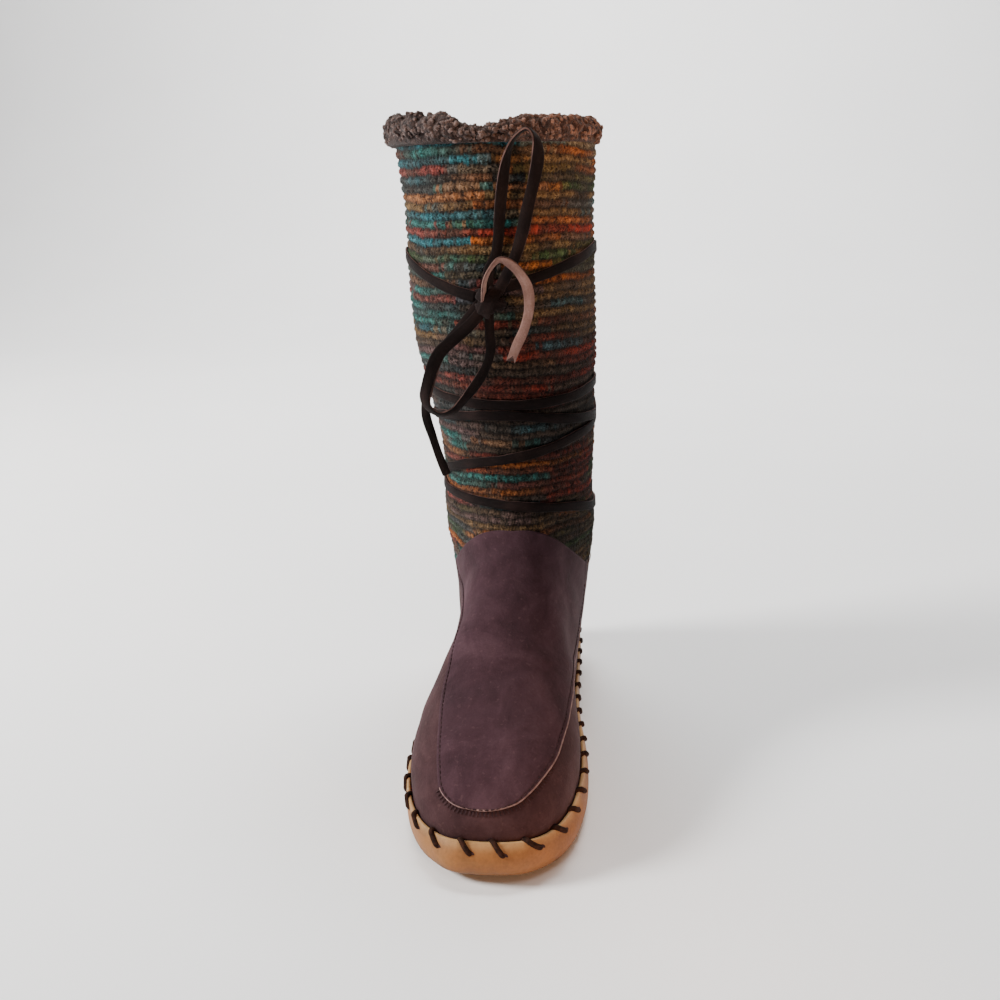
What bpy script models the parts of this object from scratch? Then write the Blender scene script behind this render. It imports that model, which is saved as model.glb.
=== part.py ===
"""Knit mukluk boot for the right foot, standing empty on its sole.

Metres, +Z up. The toe points to -Y, the medial side is +X. The origin is on the ground plane,
under the middle of the sole's length.
"""
import math

import bmesh
import bpy
import numpy as np

MM = 0.001

# Upper and shaft
FOOT_LENGTH = 260.0
BALL_WIDTH = 88.0
INSTEP_HEIGHT = 130.0
COLLAR_HEIGHT = 336.7
SHAFT_WIDTH = 106.0
SHAFT_DEPTH = 130.0
SHAFT_SETBACK = 0.235
SUEDE_WALL = 2.4
SUEDE_STEP = 0.6
KNIT_WALL = 3.0
PANEL_THICKNESS = 1.3

# Sole
LIP_HEIGHT = 24.5
LIP_WIDTH = 8.6
LIP_LATERAL_WIDTH = 0.8
LIP_MEDIAL_WIDTH = 3.6
LIP_INNER_EDGE = 1.8
CUP_FLOOR = 12.0
TOE_SPRING = 3.4
INSOLE_THICKNESS = 3.0
GROOVE_WIDTH = 3.0
GROOVE_DEPTH = 2.0
FOREFOOT_GROOVES = 5
HEEL_GROOVES = 3
GROOVE_PITCH = 18.0
ARCH_LENGTH = 44.0
ARCH_DEPTH = 2.4

# Cuff and lace
ROLL_HEIGHT = 12.6
ROLL_WIDTH = 12.2
ROLL_KNOBS = 24
KNOB_RELIEF = 0.09
ROLL_LEAN = 1.8
STRAP_WIDTH = 5.5
STRAP_THICKNESS = 1.5
CORD_RADIUS = 1.6
KNOT_SIZE = (16.0, 12.0, 16.0)

CLEARANCE = 0.3

AROUND = 32

# Sections of the foot, toe to ankle. Lengths are shares: y of FOOT_LENGTH, z of INSTEP_HEIGHT (above 1,
# the rest goes on to the collar), widths of BALL_WIDTH. waist: where the section is widest, from its
# back or bottom end. The powers shape the front or top half and the back or bottom half.
# front_y, front_z, back_y, back_z, lateral, medial, waist, front_power, back_power
FOOT_ROWS = (
    (-0.503, 0.146, -0.503, 0.131, -0.090, 0.000, 0.50, 2.20, 2.60),
    (-0.499, 0.223, -0.499, 0.054, -0.190, 0.110, 0.58, 2.20, 2.60),
    (-0.490, 0.262, -0.490, 0.050, -0.258, 0.205, 0.56, 2.20, 2.60),
    (-0.474, 0.300, -0.474, 0.046, -0.322, 0.278, 0.53, 2.20, 2.80),
    (-0.453, 0.338, -0.453, 0.046, -0.380, 0.334, 0.49, 2.20, 3.00),
    (-0.425, 0.377, -0.425, 0.046, -0.430, 0.380, 0.45, 2.20, 3.20),
    (-0.391, 0.412, -0.391, 0.046, -0.472, 0.416, 0.42, 2.20, 3.40),
    (-0.351, 0.446, -0.351, 0.046, -0.504, 0.440, 0.39, 2.20, 3.40),
    (-0.305, 0.485, -0.305, 0.046, -0.524, 0.457, 0.36, 2.20, 3.40),
    (-0.253, 0.527, -0.253, 0.046, -0.532, 0.459, 0.34, 2.15, 3.40),
    (-0.194, 0.585, -0.194, 0.046, -0.525, 0.450, 0.32, 2.10, 3.40),
    (-0.130, 0.665, -0.127, 0.046, -0.486, 0.430, 0.30, 2.10, 3.40),
    (-0.065, 0.762, -0.046, 0.038, -0.432, 0.405, 0.30, 2.10, 3.20),
    (-0.019, 0.854, 0.058, 0.031, -0.412, 0.395, 0.32, 2.10, 3.00),
    (0.008, 0.931, 0.173, 0.023, -0.410, 0.405, 0.36, 2.10, 2.80),
    (0.021, 1.000, 0.300, 0.015, -0.434, 0.415, 0.40, 2.10, 2.60),
    (0.025, 1.039, 0.415, 0.015, -0.460, 0.432, 0.45, 2.10, 2.50),
    (0.027, 1.073, 0.488, 0.138, -0.490, 0.455, 0.50, 2.10, 2.40),
    (0.027, 1.106, 0.500, 0.369, -0.528, 0.488, 0.52, 2.10, 2.30),
    (0.027, 1.145, 0.481, 0.654, -0.535, 0.500, 0.52, 2.10, 2.20),
)

# Sections of the shaft. y is a share of SHAFT_DEPTH about the shaft's axis, widths of SHAFT_WIDTH.
# front_y, front_z, back_y, back_z, lateral, medial
SHAFT_ROWS = (
    (-0.423, 1.198, 0.462, 0.938, -0.440, 0.402),
    (-0.435, 1.271, 0.462, 1.135, -0.458, 0.411),
    (-0.454, 1.377, 0.477, 1.314, -0.514, 0.408),
    (-0.469, 1.508, 0.488, 1.484, -0.582, 0.413),
    (-0.485, 1.668, 0.500, 1.658, -0.601, 0.406),
    (-0.496, 1.851, 0.508, 1.847, -0.606, 0.394),
    (-0.500, 2.000, 0.508, 2.000, -0.645, 0.404),
)
SHAFT_POWER = 2.1

# The suede's top line under the panel and round the back: degrees from the front, share of INSTEP_HEIGHT.
TOP_LINE = ((0, 0.905), (20, 0.870), (40, 0.760), (58, 0.680), (75, 0.655), (110, 0.655), (180, 0.662))

# The vamp panel: where its cross-lines run on the sections. Rows of FOOT_ROWS, and degrees round a section.
# centre_row, lateral_row, lateral_angle, medial_row, medial_angle
PANEL_ROWS = (
    (2.11, 2.17, -12.0, 2.20, 8.5),
    (2.45, 2.50, -28.5, 2.48, 20.0),
    (2.95, 3.05, -38.5, 3.02, 31.5),
    (3.80, 3.90, -43.0, 3.95, 39.0),
    (4.90, 5.00, -40.5, 5.20, 45.5),
    (6.20, 6.30, -37.8, 6.50, 50.5),
    (7.60, 7.70, -36.6, 7.90, 53.0),
    (8.90, 9.10, -38.0, 9.30, 57.5),
    (10.10, 10.30, -38.5, 10.50, 63.5),
    (11.40, 11.80, -44.0, 11.90, 73.0),
    (12.70, 13.40, -55.0, 13.30, 83.0),
    (13.85, 15.50, -73.0, 15.30, 88.0),
    (14.75, 17.30, -81.0, 17.30, 85.0),
)
PANEL_BOW = 1.3

# Lip height along the sole: y as a share of FOOT_LENGTH, share of LIP_HEIGHT above the sole's underside.
LIP_LINE = ((-0.52, 0.72), (-0.46, 0.79), (-0.36, 0.92), (-0.22, 0.99), (0.0, 1.00), (0.25, 1.00), (0.52, 1.03))

# Side wall of the sole: share of the lip's width outwards, share of LIP_HEIGHT tucked in, share of the
# lip's height. The width is LIP_WIDTH at the toe and goes over to the lateral and medial widths.
WALL_ROWS = (
    (0.36, 0.20, 0.00), (0.80, 0.09, 0.07), (1.00, 0.02, 0.32), (0.93, 0.00, 0.62), (0.66, 0.00, 0.86),
    (0.36, 0.00, 1.00),
)

# The cuff's roll: degrees from the front to the medial side, height share, width share.
ROLL_LINE = (
    (0, 0.50, 0.58), (8, 0.66, 0.72), (20, 0.86, 0.90), (45, 0.96, 1.00), (90, 1.00, 1.00), (180, 1.00, 1.05),
    (270, 1.12, 1.05), (315, 1.16, 1.02), (340, 1.08, 0.95), (352, 0.72, 0.75), (360, 0.50, 0.58),
)

# Lace passes, as (column of the knit out of AROUND, height share between instep 1 and collar 2).
# Column 0 is the front, 8 the medial side, 16 the back. Each strap starts at the back.
STRAP_A = (
    (16, 0.960), (12, 0.955), (8, 0.985), (4, 1.035), (0, 1.060), (-4, 1.070), (-8, 1.080), (-12, 1.125),
    (-16, 1.170), (-20, 1.220), (-24, 1.262), (-28, 1.292), (-32, 1.318), (-36, 1.300), (-40, 1.272),
    (-44, 1.285), (-48, 1.310), (-52, 1.336), (-56, 1.362), (-60, 1.352), (-64, 1.346), (-68, 1.358),
    (-72, 1.385), (-76, 1.460), (-80, 1.550), (-84, 1.650), (-88, 1.735), (-91, 1.712), (-94, 1.672),
    (-95.2, 1.658),
)
STRAP_B = (
    (-16, 0.975), (-12, 1.030), (-8, 1.086), (-4, 1.150), (-2, 1.178), (0, 1.196), (4, 1.235), (8, 1.262),
    (12, 1.360), (16, 1.480), (20, 1.620), (24, 1.722), (27, 1.702), (29.5, 1.662), (30.9, 1.638),
)

# Free cords of the tied lace: the knot's middle and the points that each cord passes. x is a share of
# SHAFT_WIDTH, y a share of SHAFT_DEPTH from the shaft's axis, height a share between instep 1 and collar 2.
KNOT = (-0.091, -0.528, 1.620)
UPPER_LOOP = (
    (-0.117, -0.541, 1.662), (-0.091, -0.548, 1.694), (-0.049, -0.547, 1.747), (-0.027, -0.547, 1.865),
    (-0.004, -0.550, 1.945), (0.023, -0.567, 1.989), (0.064, -0.585, 2.014), (0.106, -0.593, 2.023),
    (0.142, -0.588, 2.003), (0.151, -0.570, 1.961), (0.130, -0.562, 1.905), (0.102, -0.562, 1.848),
    (0.072, -0.562, 1.783), (0.030, -0.558, 1.721), (-0.045, -0.547, 1.657),
)
LOWER_LOOP = (
    (-0.147, -0.547, 1.590), (-0.185, -0.558, 1.567), (-0.260, -0.570, 1.534), (-0.336, -0.578, 1.499),
    (-0.379, -0.578, 1.459), (-0.409, -0.570, 1.414), (-0.425, -0.562, 1.379), (-0.408, -0.555, 1.351),
    (-0.354, -0.547, 1.334), (-0.289, -0.542, 1.342), (-0.242, -0.538, 1.365), (-0.201, -0.535, 1.390),
    (-0.148, -0.532, 1.427), (-0.106, -0.532, 1.469), (-0.090, -0.533, 1.507), (-0.093, -0.538, 1.538),
    (-0.098, -0.539, 1.577),
)
END_RIGHT = (
    (-0.113, -0.575, 1.644), (-0.105, -0.595, 1.672), (-0.070, -0.608, 1.708), (-0.025, -0.612, 1.727),
    (0.030, -0.610, 1.714), (0.075, -0.601, 1.687), (0.103, -0.585, 1.653), (0.104, -0.562, 1.603),
    (0.077, -0.547, 1.552), (0.041, -0.533, 1.513), (0.014, -0.525, 1.479),
)
END_LEFT = (
    (-0.172, -0.528, 1.605), (-0.233, -0.525, 1.560), (-0.311, -0.527, 1.516), (-0.374, -0.521, 1.457),
    (-0.417, -0.508, 1.392), (-0.438, -0.501, 1.351), (-0.436, -0.493, 1.314), (-0.414, -0.478, 1.266),
    (-0.386, -0.458, 1.206), (-0.353, -0.439, 1.151),
)


def smooth_rows(table, at):
    """Rows of a table between its own rows, on a smooth curve through them."""
    table = np.asarray(table, float)
    last = len(table) - 1
    at = np.clip(np.asarray(at, float), 0.0, last)
    low = np.clip(at.astype(int), 0, last - 1)
    part = (at - low)[..., None]
    ends = np.vstack([2 * table[0] - table[1], table, 2 * table[-1] - table[-2]])
    a, b, c, d = ends[low], ends[low + 1], ends[low + 2], ends[low + 3]
    bend = (2 * a - 5 * b + 4 * c - d) * part + (3 * b - a - 3 * c + d) * part * part
    return 0.5 * (2 * b + (c - a) * part + bend * part)


def storey(share):
    """Height of a share: below 1 in the foot, from 1 to 2 on to the collar."""
    share = np.asarray(share, float)
    foot = share * INSTEP_HEIGHT
    shaft = INSTEP_HEIGHT + (share - 1.0) * (COLLAR_HEIGHT - INSTEP_HEIGHT)
    return np.where(share <= 1.0, foot, shaft)


def section_table():
    """All sections in mm, toe to collar."""
    rows = []
    for fy, fz, by, bz, lateral, medial, waist, front, back in FOOT_ROWS:
        ys = (fy * FOOT_LENGTH, by * FOOT_LENGTH)
        rows.append((ys[0], storey(fz), ys[1], storey(bz), lateral * BALL_WIDTH, medial * BALL_WIDTH,
                     waist, front, back))
    axis = SHAFT_SETBACK * FOOT_LENGTH
    for fy, fz, by, bz, lateral, medial in SHAFT_ROWS:
        ys = (axis + fy * SHAFT_DEPTH, axis + by * SHAFT_DEPTH)
        rows.append((ys[0], storey(fz), ys[1], storey(bz), lateral * SHAFT_WIDTH, medial * SHAFT_WIDTH,
                     0.5, SHAFT_POWER, SHAFT_POWER))
    return np.array(rows, float)


def on_shaft(points):
    """Places in mm of points given as shares of the shaft's sizes."""
    points = np.asarray(points, float)
    x = points[..., 0] * SHAFT_WIDTH
    y = SHAFT_SETBACK * FOOT_LENGTH + points[..., 1] * SHAFT_DEPTH
    return np.stack([x, y, storey(points[..., 2])], -1)


SECTIONS = section_table()
TOP_ROW = len(SECTIONS) - 1
ANKLE_ROW = len(FOOT_ROWS) - 1


def base_point(row, angle):
    """Point of the boot's form at a section row and an angle: 0 front or top, 90 medial, 180 back or sole."""
    row, angle = np.broadcast_arrays(np.asarray(row, float), np.radians(np.asarray(angle, float)))
    s = smooth_rows(SECTIONS, row)
    fy, fz, by, bz, lateral, medial, waist, front, back = np.moveaxis(s, -1, 0)
    cosine, sine = np.cos(angle), np.sin(angle)
    power = np.where(cosine >= 0, front, back)
    reach = np.where(cosine >= 0, 1.0 - waist, waist) * np.sign(cosine) * np.abs(cosine) ** (2.0 / power)
    x = (lateral + medial) / 2 + (medial - lateral) / 2 * np.sign(sine) * np.abs(sine) ** (2.0 / power)
    y = by + (waist + reach) * (fy - by)
    z = bz + (waist + reach) * (fz - bz)
    return np.stack([x, y, z], -1)


def form_point(row, angle, out=0.0):
    """Point of the form, moved outwards by a distance in mm."""
    row, angle = np.broadcast_arrays(np.asarray(row, float), np.asarray(angle, float))
    point = base_point(row, angle)
    step = 0.04
    low = np.clip(row - step, 0.0, TOP_ROW)
    high = np.clip(row + step, 0.0, TOP_ROW)
    along = base_point(high, angle) - base_point(low, angle)
    across = base_point(row, angle + 1.5) - base_point(row, angle - 1.5)
    normal = np.cross(across, along)
    size = np.linalg.norm(normal, axis=-1, keepdims=True)
    normal = np.where(size > 1e-6, normal / np.maximum(size, 1e-6), np.array([0.0, -1.0, 0.0]))
    return point + normal * out, normal


def spring(y):
    """Rise of the sole's underside towards the toe."""
    start = -0.30 * FOOT_LENGTH
    share = np.clip((start - np.asarray(y, float)) / (0.52 * FOOT_LENGTH + start), 0.0, 1.3)
    return TOE_SPRING * share ** 2


def lip_height(y):
    """Height of the lip above the underside."""
    table = np.array(LIP_LINE)
    return LIP_HEIGHT * np.interp(np.asarray(y, float) / FOOT_LENGTH, table[:, 0], table[:, 1])


def level_outline(level, stations):
    """The form's widest outline up to a height: a ring from the toe round the lateral side to the heel and back."""
    rows = np.linspace(0.0, 18.5, 371)
    sides = []
    for sign in (-1.0, 1.0):
        angles = np.linspace(0.0, 180.0, 181) * sign
        points = base_point(rows[:, None], angles[None, :])
        found = []
        for line in points:
            below = np.flatnonzero((line[:-1, 2] >= level) & (line[1:, 2] < level))
            if len(below) == 0:
                continue
            i = below[0]
            part = (line[i, 2] - level) / (line[i, 2] - line[i + 1, 2])
            crossing = line[i] + (line[i + 1] - line[i]) * part
            under = line[i + 1:]
            widest = under[np.argmax(sign * under[:, 0])]
            found.append(widest if sign * widest[0] > sign * crossing[0] else crossing)
        sides.append(np.array(found))
    toe = base_point(0.0, 0.0)
    line = base_point(rows, 180.0)
    if level < SECTIONS[0, 1]:
        i = np.flatnonzero((line[:-1, 2] >= level) & (line[1:, 2] < level))[0]
        toe = line[i] + (line[i + 1] - line[i]) * (line[i, 2] - level) / (line[i, 2] - line[i + 1, 2])
    i = np.flatnonzero((line[:-1, 2] < level) & (line[1:, 2] >= level))[-1]
    heel = line[i] + (line[i + 1] - line[i]) * (level - line[i, 2]) / (line[i + 1, 2] - line[i, 2])
    turn = (1.0 - np.cos(np.linspace(0.0, math.pi, stations))) / 2
    ys = toe[1] + (heel[1] - toe[1]) * turn
    halves = []
    for side in sides:
        side = np.vstack([toe, side[(side[:, 1] > toe[1]) & (side[:, 1] < heel[1])], heel])
        side = side[np.argsort(side[:, 1])]
        halves.append(np.interp(ys, side[:, 1], side[:, 0]))
    lateral = np.stack([halves[0], ys], -1)
    medial = np.stack([halves[1], ys], -1)[1:-1][::-1]
    return np.vstack([lateral, medial])


def ring_normals(ring):
    """Outward directions at the points of a closed outline."""
    along = np.roll(ring, -1, axis=0) - np.roll(ring, 1, axis=0)
    along /= np.linalg.norm(along, axis=1, keepdims=True)
    normal = np.stack([along[:, 1], -along[:, 0]], -1)
    middle = ring.mean(axis=0)
    if np.sum(normal * (ring - middle)) < 0:
        normal = -normal
    return normal


def grown(ring, distance):
    """A closed outline moved outwards by a distance, one for all or one for each point."""
    return ring + ring_normals(ring) * np.broadcast_to(distance, len(ring))[:, None]


def lip_width(ring):
    """Width of the lip round an outline, largest where it faces the toe."""
    facing = ring_normals(ring)
    toe = np.clip(-facing[:, 1], 0.0, 1.0) ** 6
    front = np.clip(0.5 - ring[:, 1] / (0.3 * FOOT_LENGTH), 0.0, 1.0)
    side = LIP_LATERAL_WIDTH + (LIP_MEDIAL_WIDTH - LIP_LATERAL_WIDTH) * front * (0.5 + 0.5 * facing[:, 0])
    return side + (LIP_WIDTH - side) * toe


def make_collection(name):
    collection = bpy.data.collections.new(name)
    bpy.context.scene.collection.children.link(collection)
    return collection


def make_material(name, colour, roughness):
    material = bpy.data.materials.new(name)
    material.use_nodes = True
    shader = material.node_tree.nodes["Principled BSDF"]
    shader.inputs["Base Color"].default_value = (*colour, 1.0)
    shader.inputs["Roughness"].default_value = roughness
    shader.inputs["Metallic"].default_value = 0.0
    return material


def finish(name, bm, collection, material=None, closed=True):
    """Turn a bmesh in mm into an object in metres."""
    if closed:
        bmesh.ops.recalc_face_normals(bm, faces=bm.faces)
    bmesh.ops.scale(bm, vec=(MM, MM, MM), verts=bm.verts)
    mesh = bpy.data.meshes.new(name)
    bm.to_mesh(mesh)
    bm.free()
    mesh.shade_smooth()
    mesh.set_sharp_from_angle(angle=math.radians(40.0))
    obj = bpy.data.objects.new(name, mesh)
    collection.objects.link(obj)
    if material is not None:
        mesh.materials.append(material)
    return obj


def loft(bm, rings, closed_rings=True):
    """Quads between rings of points, returned as rings of vertices."""
    made = [[bm.verts.new(p) for p in ring] for ring in rings]
    for first, second in zip(made[:-1], made[1:]):
        count = len(first)
        for i in range(count if closed_rings else count - 1):
            j = (i + 1) % count
            bm.faces.new((first[i], first[j], second[j], second[i]))
    return made


def cap_across(bm, ring):
    """Close a ring that starts at the toe with strips from side to side."""
    count = len(ring)
    half = count // 2
    bm.faces.new((ring[0], ring[1], ring[count - 1]))
    for i in range(1, half - 1):
        bm.faces.new((ring[i], ring[i + 1], ring[count - i - 1], ring[count - i]))
    bm.faces.new((ring[half - 1], ring[half], ring[half + 1]))


def cut(obj, cutter, operation):
    modifier = obj.modifiers.new(operation.title() + " " + cutter.name, "BOOLEAN")
    modifier.operation = operation
    modifier.solver = "EXACT"
    modifier.object = cutter


def as_cutter(obj):
    obj.hide_render = True
    obj.display_type = "WIRE"
    return obj


def floor_cutter(collection):
    """Everything under the cup's floor and its clearance."""
    ys = np.linspace(-0.62, 0.62, 32) * FOOT_LENGTH
    tops = CUP_FLOOR + CLEARANCE + spring(ys)
    wide = BALL_WIDTH
    rings = []
    for y, top in zip(ys, tops):
        rings.append(((-wide, y, -BALL_WIDTH / 2), (wide, y, -BALL_WIDTH / 2), (wide, y, top), (-wide, y, top)))
    bm = bmesh.new()
    made = loft(bm, rings)
    bm.faces.new(made[0])
    bm.faces.new(made[-1])
    return as_cutter(finish("below_cup_floor", bm, collection))


def top_line(degrees):
    table = np.array(TOP_LINE, float)
    turned = np.abs((np.asarray(degrees, float) + 180.0) % 360.0 - 180.0)
    smooth = np.interp(turned, table[:, 0], table[:, 1])
    return smooth * INSTEP_HEIGHT


def above_cutter(name, lift, collection):
    """Everything above the suede's top line, as seen round the shaft's axis."""
    axis = SHAFT_SETBACK * FOOT_LENGTH
    degrees = np.arange(0.0, 360.0, 7.5)
    heights = top_line(degrees) + lift
    for _ in range(2):
        heights = (np.roll(heights, 1) + 2 * heights + np.roll(heights, -1)) / 4
    turns = np.radians(degrees)
    rings = []
    for radius, top in ((0.04, False), (1.6, False), (1.6, True)):
        z = heights if not top else np.full_like(heights, COLLAR_HEIGHT * 1.2)
        x = radius * SHAFT_WIDTH * np.sin(turns)
        y = axis - radius * SHAFT_WIDTH * np.cos(turns)
        rings.append(np.stack([x, y, z], -1))
    bm = bmesh.new()
    made = loft(bm, rings)
    bm.faces.new(made[-1])
    hub = bm.verts.new((0.0, axis, float(heights.mean())))
    for i, vert in enumerate(made[0]):
        bm.faces.new((vert, made[0][(i + 1) % len(made[0])], hub))
    bmesh.ops.triangulate(bm, faces=bm.faces, quad_method="FIXED", ngon_method="BEAUTY")
    return as_cutter(finish(name, bm, collection))


def shell(name, rows, out, wall, collection, material):
    """Open loft of the form over some rows, made into a wall by Solidify."""
    angles = np.arange(AROUND) * 360.0 / AROUND
    points, _ = form_point(np.asarray(rows)[:, None], angles[None, :], out)
    bm = bmesh.new()
    rings = list(points)
    starts_at_toe = rows[0] <= 0.0
    if starts_at_toe:
        rings = rings[1:]
    made = loft(bm, rings)
    if starts_at_toe:
        tip = bm.verts.new(points[0].mean(axis=0))
        for i, vert in enumerate(made[0]):
            bm.faces.new((made[0][(i + 1) % AROUND], vert, tip))
    obj = finish(name, bm, collection, material, closed=False)
    modifier = obj.modifiers.new("Wall", "SOLIDIFY")
    modifier.thickness = wall * MM
    modifier.offset = -1.0
    modifier.use_even_offset = True
    return obj


def make_outsole(collection, cutters, material):
    stations = 31
    foot = level_outline(CUP_FLOOR + INSOLE_THICKNESS, stations)
    brim = level_outline(LIP_HEIGHT * LIP_LINE[-1][1], stations)
    inner = SUEDE_STEP + 2.1 * CLEARANCE
    edge = inner + LIP_INNER_EDGE
    rings = []
    width = lip_width(brim)
    for share, tuck, height in WALL_ROWS:
        ring = grown(brim, edge + (share - WALL_ROWS[-1][0]) * width - tuck * LIP_HEIGHT)
        z = spring(ring[:, 1]) + height * lip_height(ring[:, 1])
        rings.append(np.column_stack([ring, z]))
    ring = grown(brim, inner)
    rings.append(np.column_stack([ring, spring(ring[:, 1]) + lip_height(ring[:, 1]) - 0.4]))
    ring = grown(foot, inner)
    rings.append(np.column_stack([ring, spring(ring[:, 1]) + CUP_FLOOR]))
    bm = bmesh.new()
    made = loft(bm, rings)
    cap_across(bm, made[0])
    cap_across(bm, made[-1])
    sole = finish("outsole", bm, collection, material)
    ball = -0.21 * FOOT_LENGTH
    heel = 0.35 * FOOT_LENGTH
    places = [ball + (i - (FOREFOOT_GROOVES - 1) / 2) * GROOVE_PITCH for i in range(FOREFOOT_GROOVES)]
    places += [heel + (i - (HEEL_GROOVES - 1) / 2) * GROOVE_PITCH for i in range(HEEL_GROOVES)]
    for i, y in enumerate(places):
        rise = float(spring(y))
        bpy.ops.mesh.primitive_cube_add(size=1.0, location=(0, y * MM, (rise - 0.5 * GROOVE_DEPTH) * MM))
        groove = bpy.context.object
        groove.name = "groove_%d" % i
        groove.scale = (BALL_WIDTH * 2 * MM, GROOVE_WIDTH * MM, GROOVE_DEPTH * 3 * MM)
        bpy.ops.object.transform_apply(location=False, rotation=False, scale=True)
        for owner in list(groove.users_collection):
            owner.objects.unlink(groove)
        cutters.objects.link(as_cutter(groove))
        cut(sole, groove, "DIFFERENCE")
    radius = ((ARCH_LENGTH / 2) ** 2 + ARCH_DEPTH ** 2) / (2 * ARCH_DEPTH)
    middle = 0.14 * FOOT_LENGTH
    bpy.ops.mesh.primitive_cylinder_add(vertices=180, radius=radius * MM, depth=BALL_WIDTH * 2 * MM,
                                        location=(0, middle * MM, (ARCH_DEPTH - radius) * MM),
                                        rotation=(0, math.pi / 2, 0))
    arch = bpy.context.object
    arch.name = "arch"
    for owner in list(arch.users_collection):
        owner.objects.unlink(arch)
    cutters.objects.link(as_cutter(arch))
    cut(sole, arch, "DIFFERENCE")
    return sole


def make_insole(collection, material):
    inner = SUEDE_WALL - SUEDE_STEP
    ring = grown(level_outline(CUP_FLOOR + CLEARANCE, 25), -(2.3 * inner + CLEARANCE))
    low = spring(ring[:, 1]) + CUP_FLOOR + CLEARANCE
    slim = grown(ring, -0.25 * INSOLE_THICKNESS)
    bm = bmesh.new()
    high = spring(slim[:, 1]) + CUP_FLOOR + CLEARANCE + INSOLE_THICKNESS
    side = low + 0.7 * INSOLE_THICKNESS
    made = loft(bm, (np.column_stack([ring, low]), np.column_stack([ring, side]), np.column_stack([slim, high])))
    cap_across(bm, made[0])
    cap_across(bm, made[-1])
    return finish("insole", bm, collection, material)


def make_panel(collection, material):
    """The apron and tongue in one panel, over the wall and the knit."""
    lines = smooth_rows(PANEL_ROWS, np.linspace(0, len(PANEL_ROWS) - 1, 27))
    steps = np.linspace(-1.0, 1.0, 15)
    share = np.abs(steps) ** PANEL_BOW
    points = []
    for centre, lateral_row, lateral_angle, medial_row, medial_angle in lines:
        side_row = np.where(steps < 0, lateral_row, medial_row)
        side_angle = np.where(steps < 0, -lateral_angle, medial_angle)
        row = centre + (side_row - centre) * share
        placed, _ = form_point(row, side_angle * steps, SUEDE_STEP + 2.0 * CLEARANCE)
        points.append(placed)
    bm = bmesh.new()
    loft(bm, points, closed_rings=False)
    obj = finish("vamp_panel", bm, collection, material, closed=False)
    modifier = obj.modifiers.new("Thickness", "SOLIDIFY")
    modifier.thickness = PANEL_THICKNESS * MM
    modifier.offset = 1.0
    modifier.use_even_offset = True
    return obj


def make_cuff(collection, material):
    """Knobbly roll on the knit's top edge, thinner where its ends meet at the front."""
    count = ROLL_KNOBS * 4
    angles = np.arange(count) * 360.0 / count
    edge, normal = form_point(np.full(count, float(TOP_ROW)), angles, -KNIT_WALL / 2)
    line = np.array(ROLL_LINE)
    tall_share = np.interp(angles, line[:, 0], line[:, 1])
    wide_share = np.interp(angles, line[:, 0], line[:, 2])
    edge[:, 0] -= ROLL_LEAN
    knob = 1.0 + KNOB_RELIEF * np.cos(np.arange(count) * math.pi / 2) + 0.3 * KNOB_RELIEF * np.sin(angles * 0.11)
    rings = []
    flat = normal.copy()
    flat[:, 2] = 0.0
    flat /= np.linalg.norm(flat, axis=1, keepdims=True)
    for i in range(8):
        turn = i * math.pi / 4
        wide = ROLL_WIDTH / 2 * wide_share * knob
        tall = ROLL_HEIGHT / 2 * tall_share * knob
        seat = COLLAR_HEIGHT + CLEARANCE + ROLL_HEIGHT / 2 * tall_share * knob
        point = edge + flat * (wide * math.cos(turn))[:, None]
        point[:, 2] = seat + tall * math.sin(turn)
        rings.append(point)
    bm = bmesh.new()
    made = loft(bm, rings)
    for i in range(count):
        j = (i + 1) % count
        bm.faces.new((made[-1][i], made[-1][j], made[0][j], made[0][i]))
    return finish("fleece_cuff", bm, collection, material)


def column_place(column, share):
    """Row of the form where a column of the knit reaches a height."""
    angle = (column * 360.0 / AROUND) % 360.0
    rows = np.linspace(13.0, TOP_ROW, 600)
    line = base_point(rows, angle)[:, 2]
    low = np.argmin(line)
    height = float(storey(share))
    return float(np.interp(height, line[low:], rows[low:])), angle


def strap_path(table):
    """Strap points at each column of the knit, on a smooth curve through the table's own points."""
    table = np.array(table, float)
    columns = table[:, 0]
    step = 1.0 if columns[-1] > columns[0] else -1.0
    wanted = list(np.arange(columns[0], columns[-1], step)) + [columns[-1]]
    places = np.interp(wanted, columns[::int(step)], np.arange(len(table))[::int(step)])
    heights = smooth_rows(table, places)[:, 1]
    return list(zip(wanted, heights))


def make_strap(name, table, collection, material=None):
    path = strap_path(table)
    points = []
    normals = []
    for column, share in path:
        row, angle = column_place(column, share)
        place, normal = form_point(row, angle, 0.0)
        points.append(place)
        normals.append(normal)
    points = np.array(points)
    normals = np.array(normals)
    along = np.gradient(points, axis=0)
    along /= np.linalg.norm(along, axis=1, keepdims=True)
    wide = np.cross(normals, along)
    wide /= np.linalg.norm(wide, axis=1, keepdims=True)
    inner = 2.0 * CLEARANCE
    rings = []
    for p, n, w in zip(points, normals, wide):
        half = w * STRAP_WIDTH / 2
        low = p + n * inner
        high = p + n * (inner + STRAP_THICKNESS)
        rings.append((low - half, low + half, high + half, high - half))
    bm = bmesh.new()
    made = loft(bm, rings)
    bm.faces.new(made[0])
    bm.faces.new(made[-1])
    return finish(name, bm, collection, material)


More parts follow.
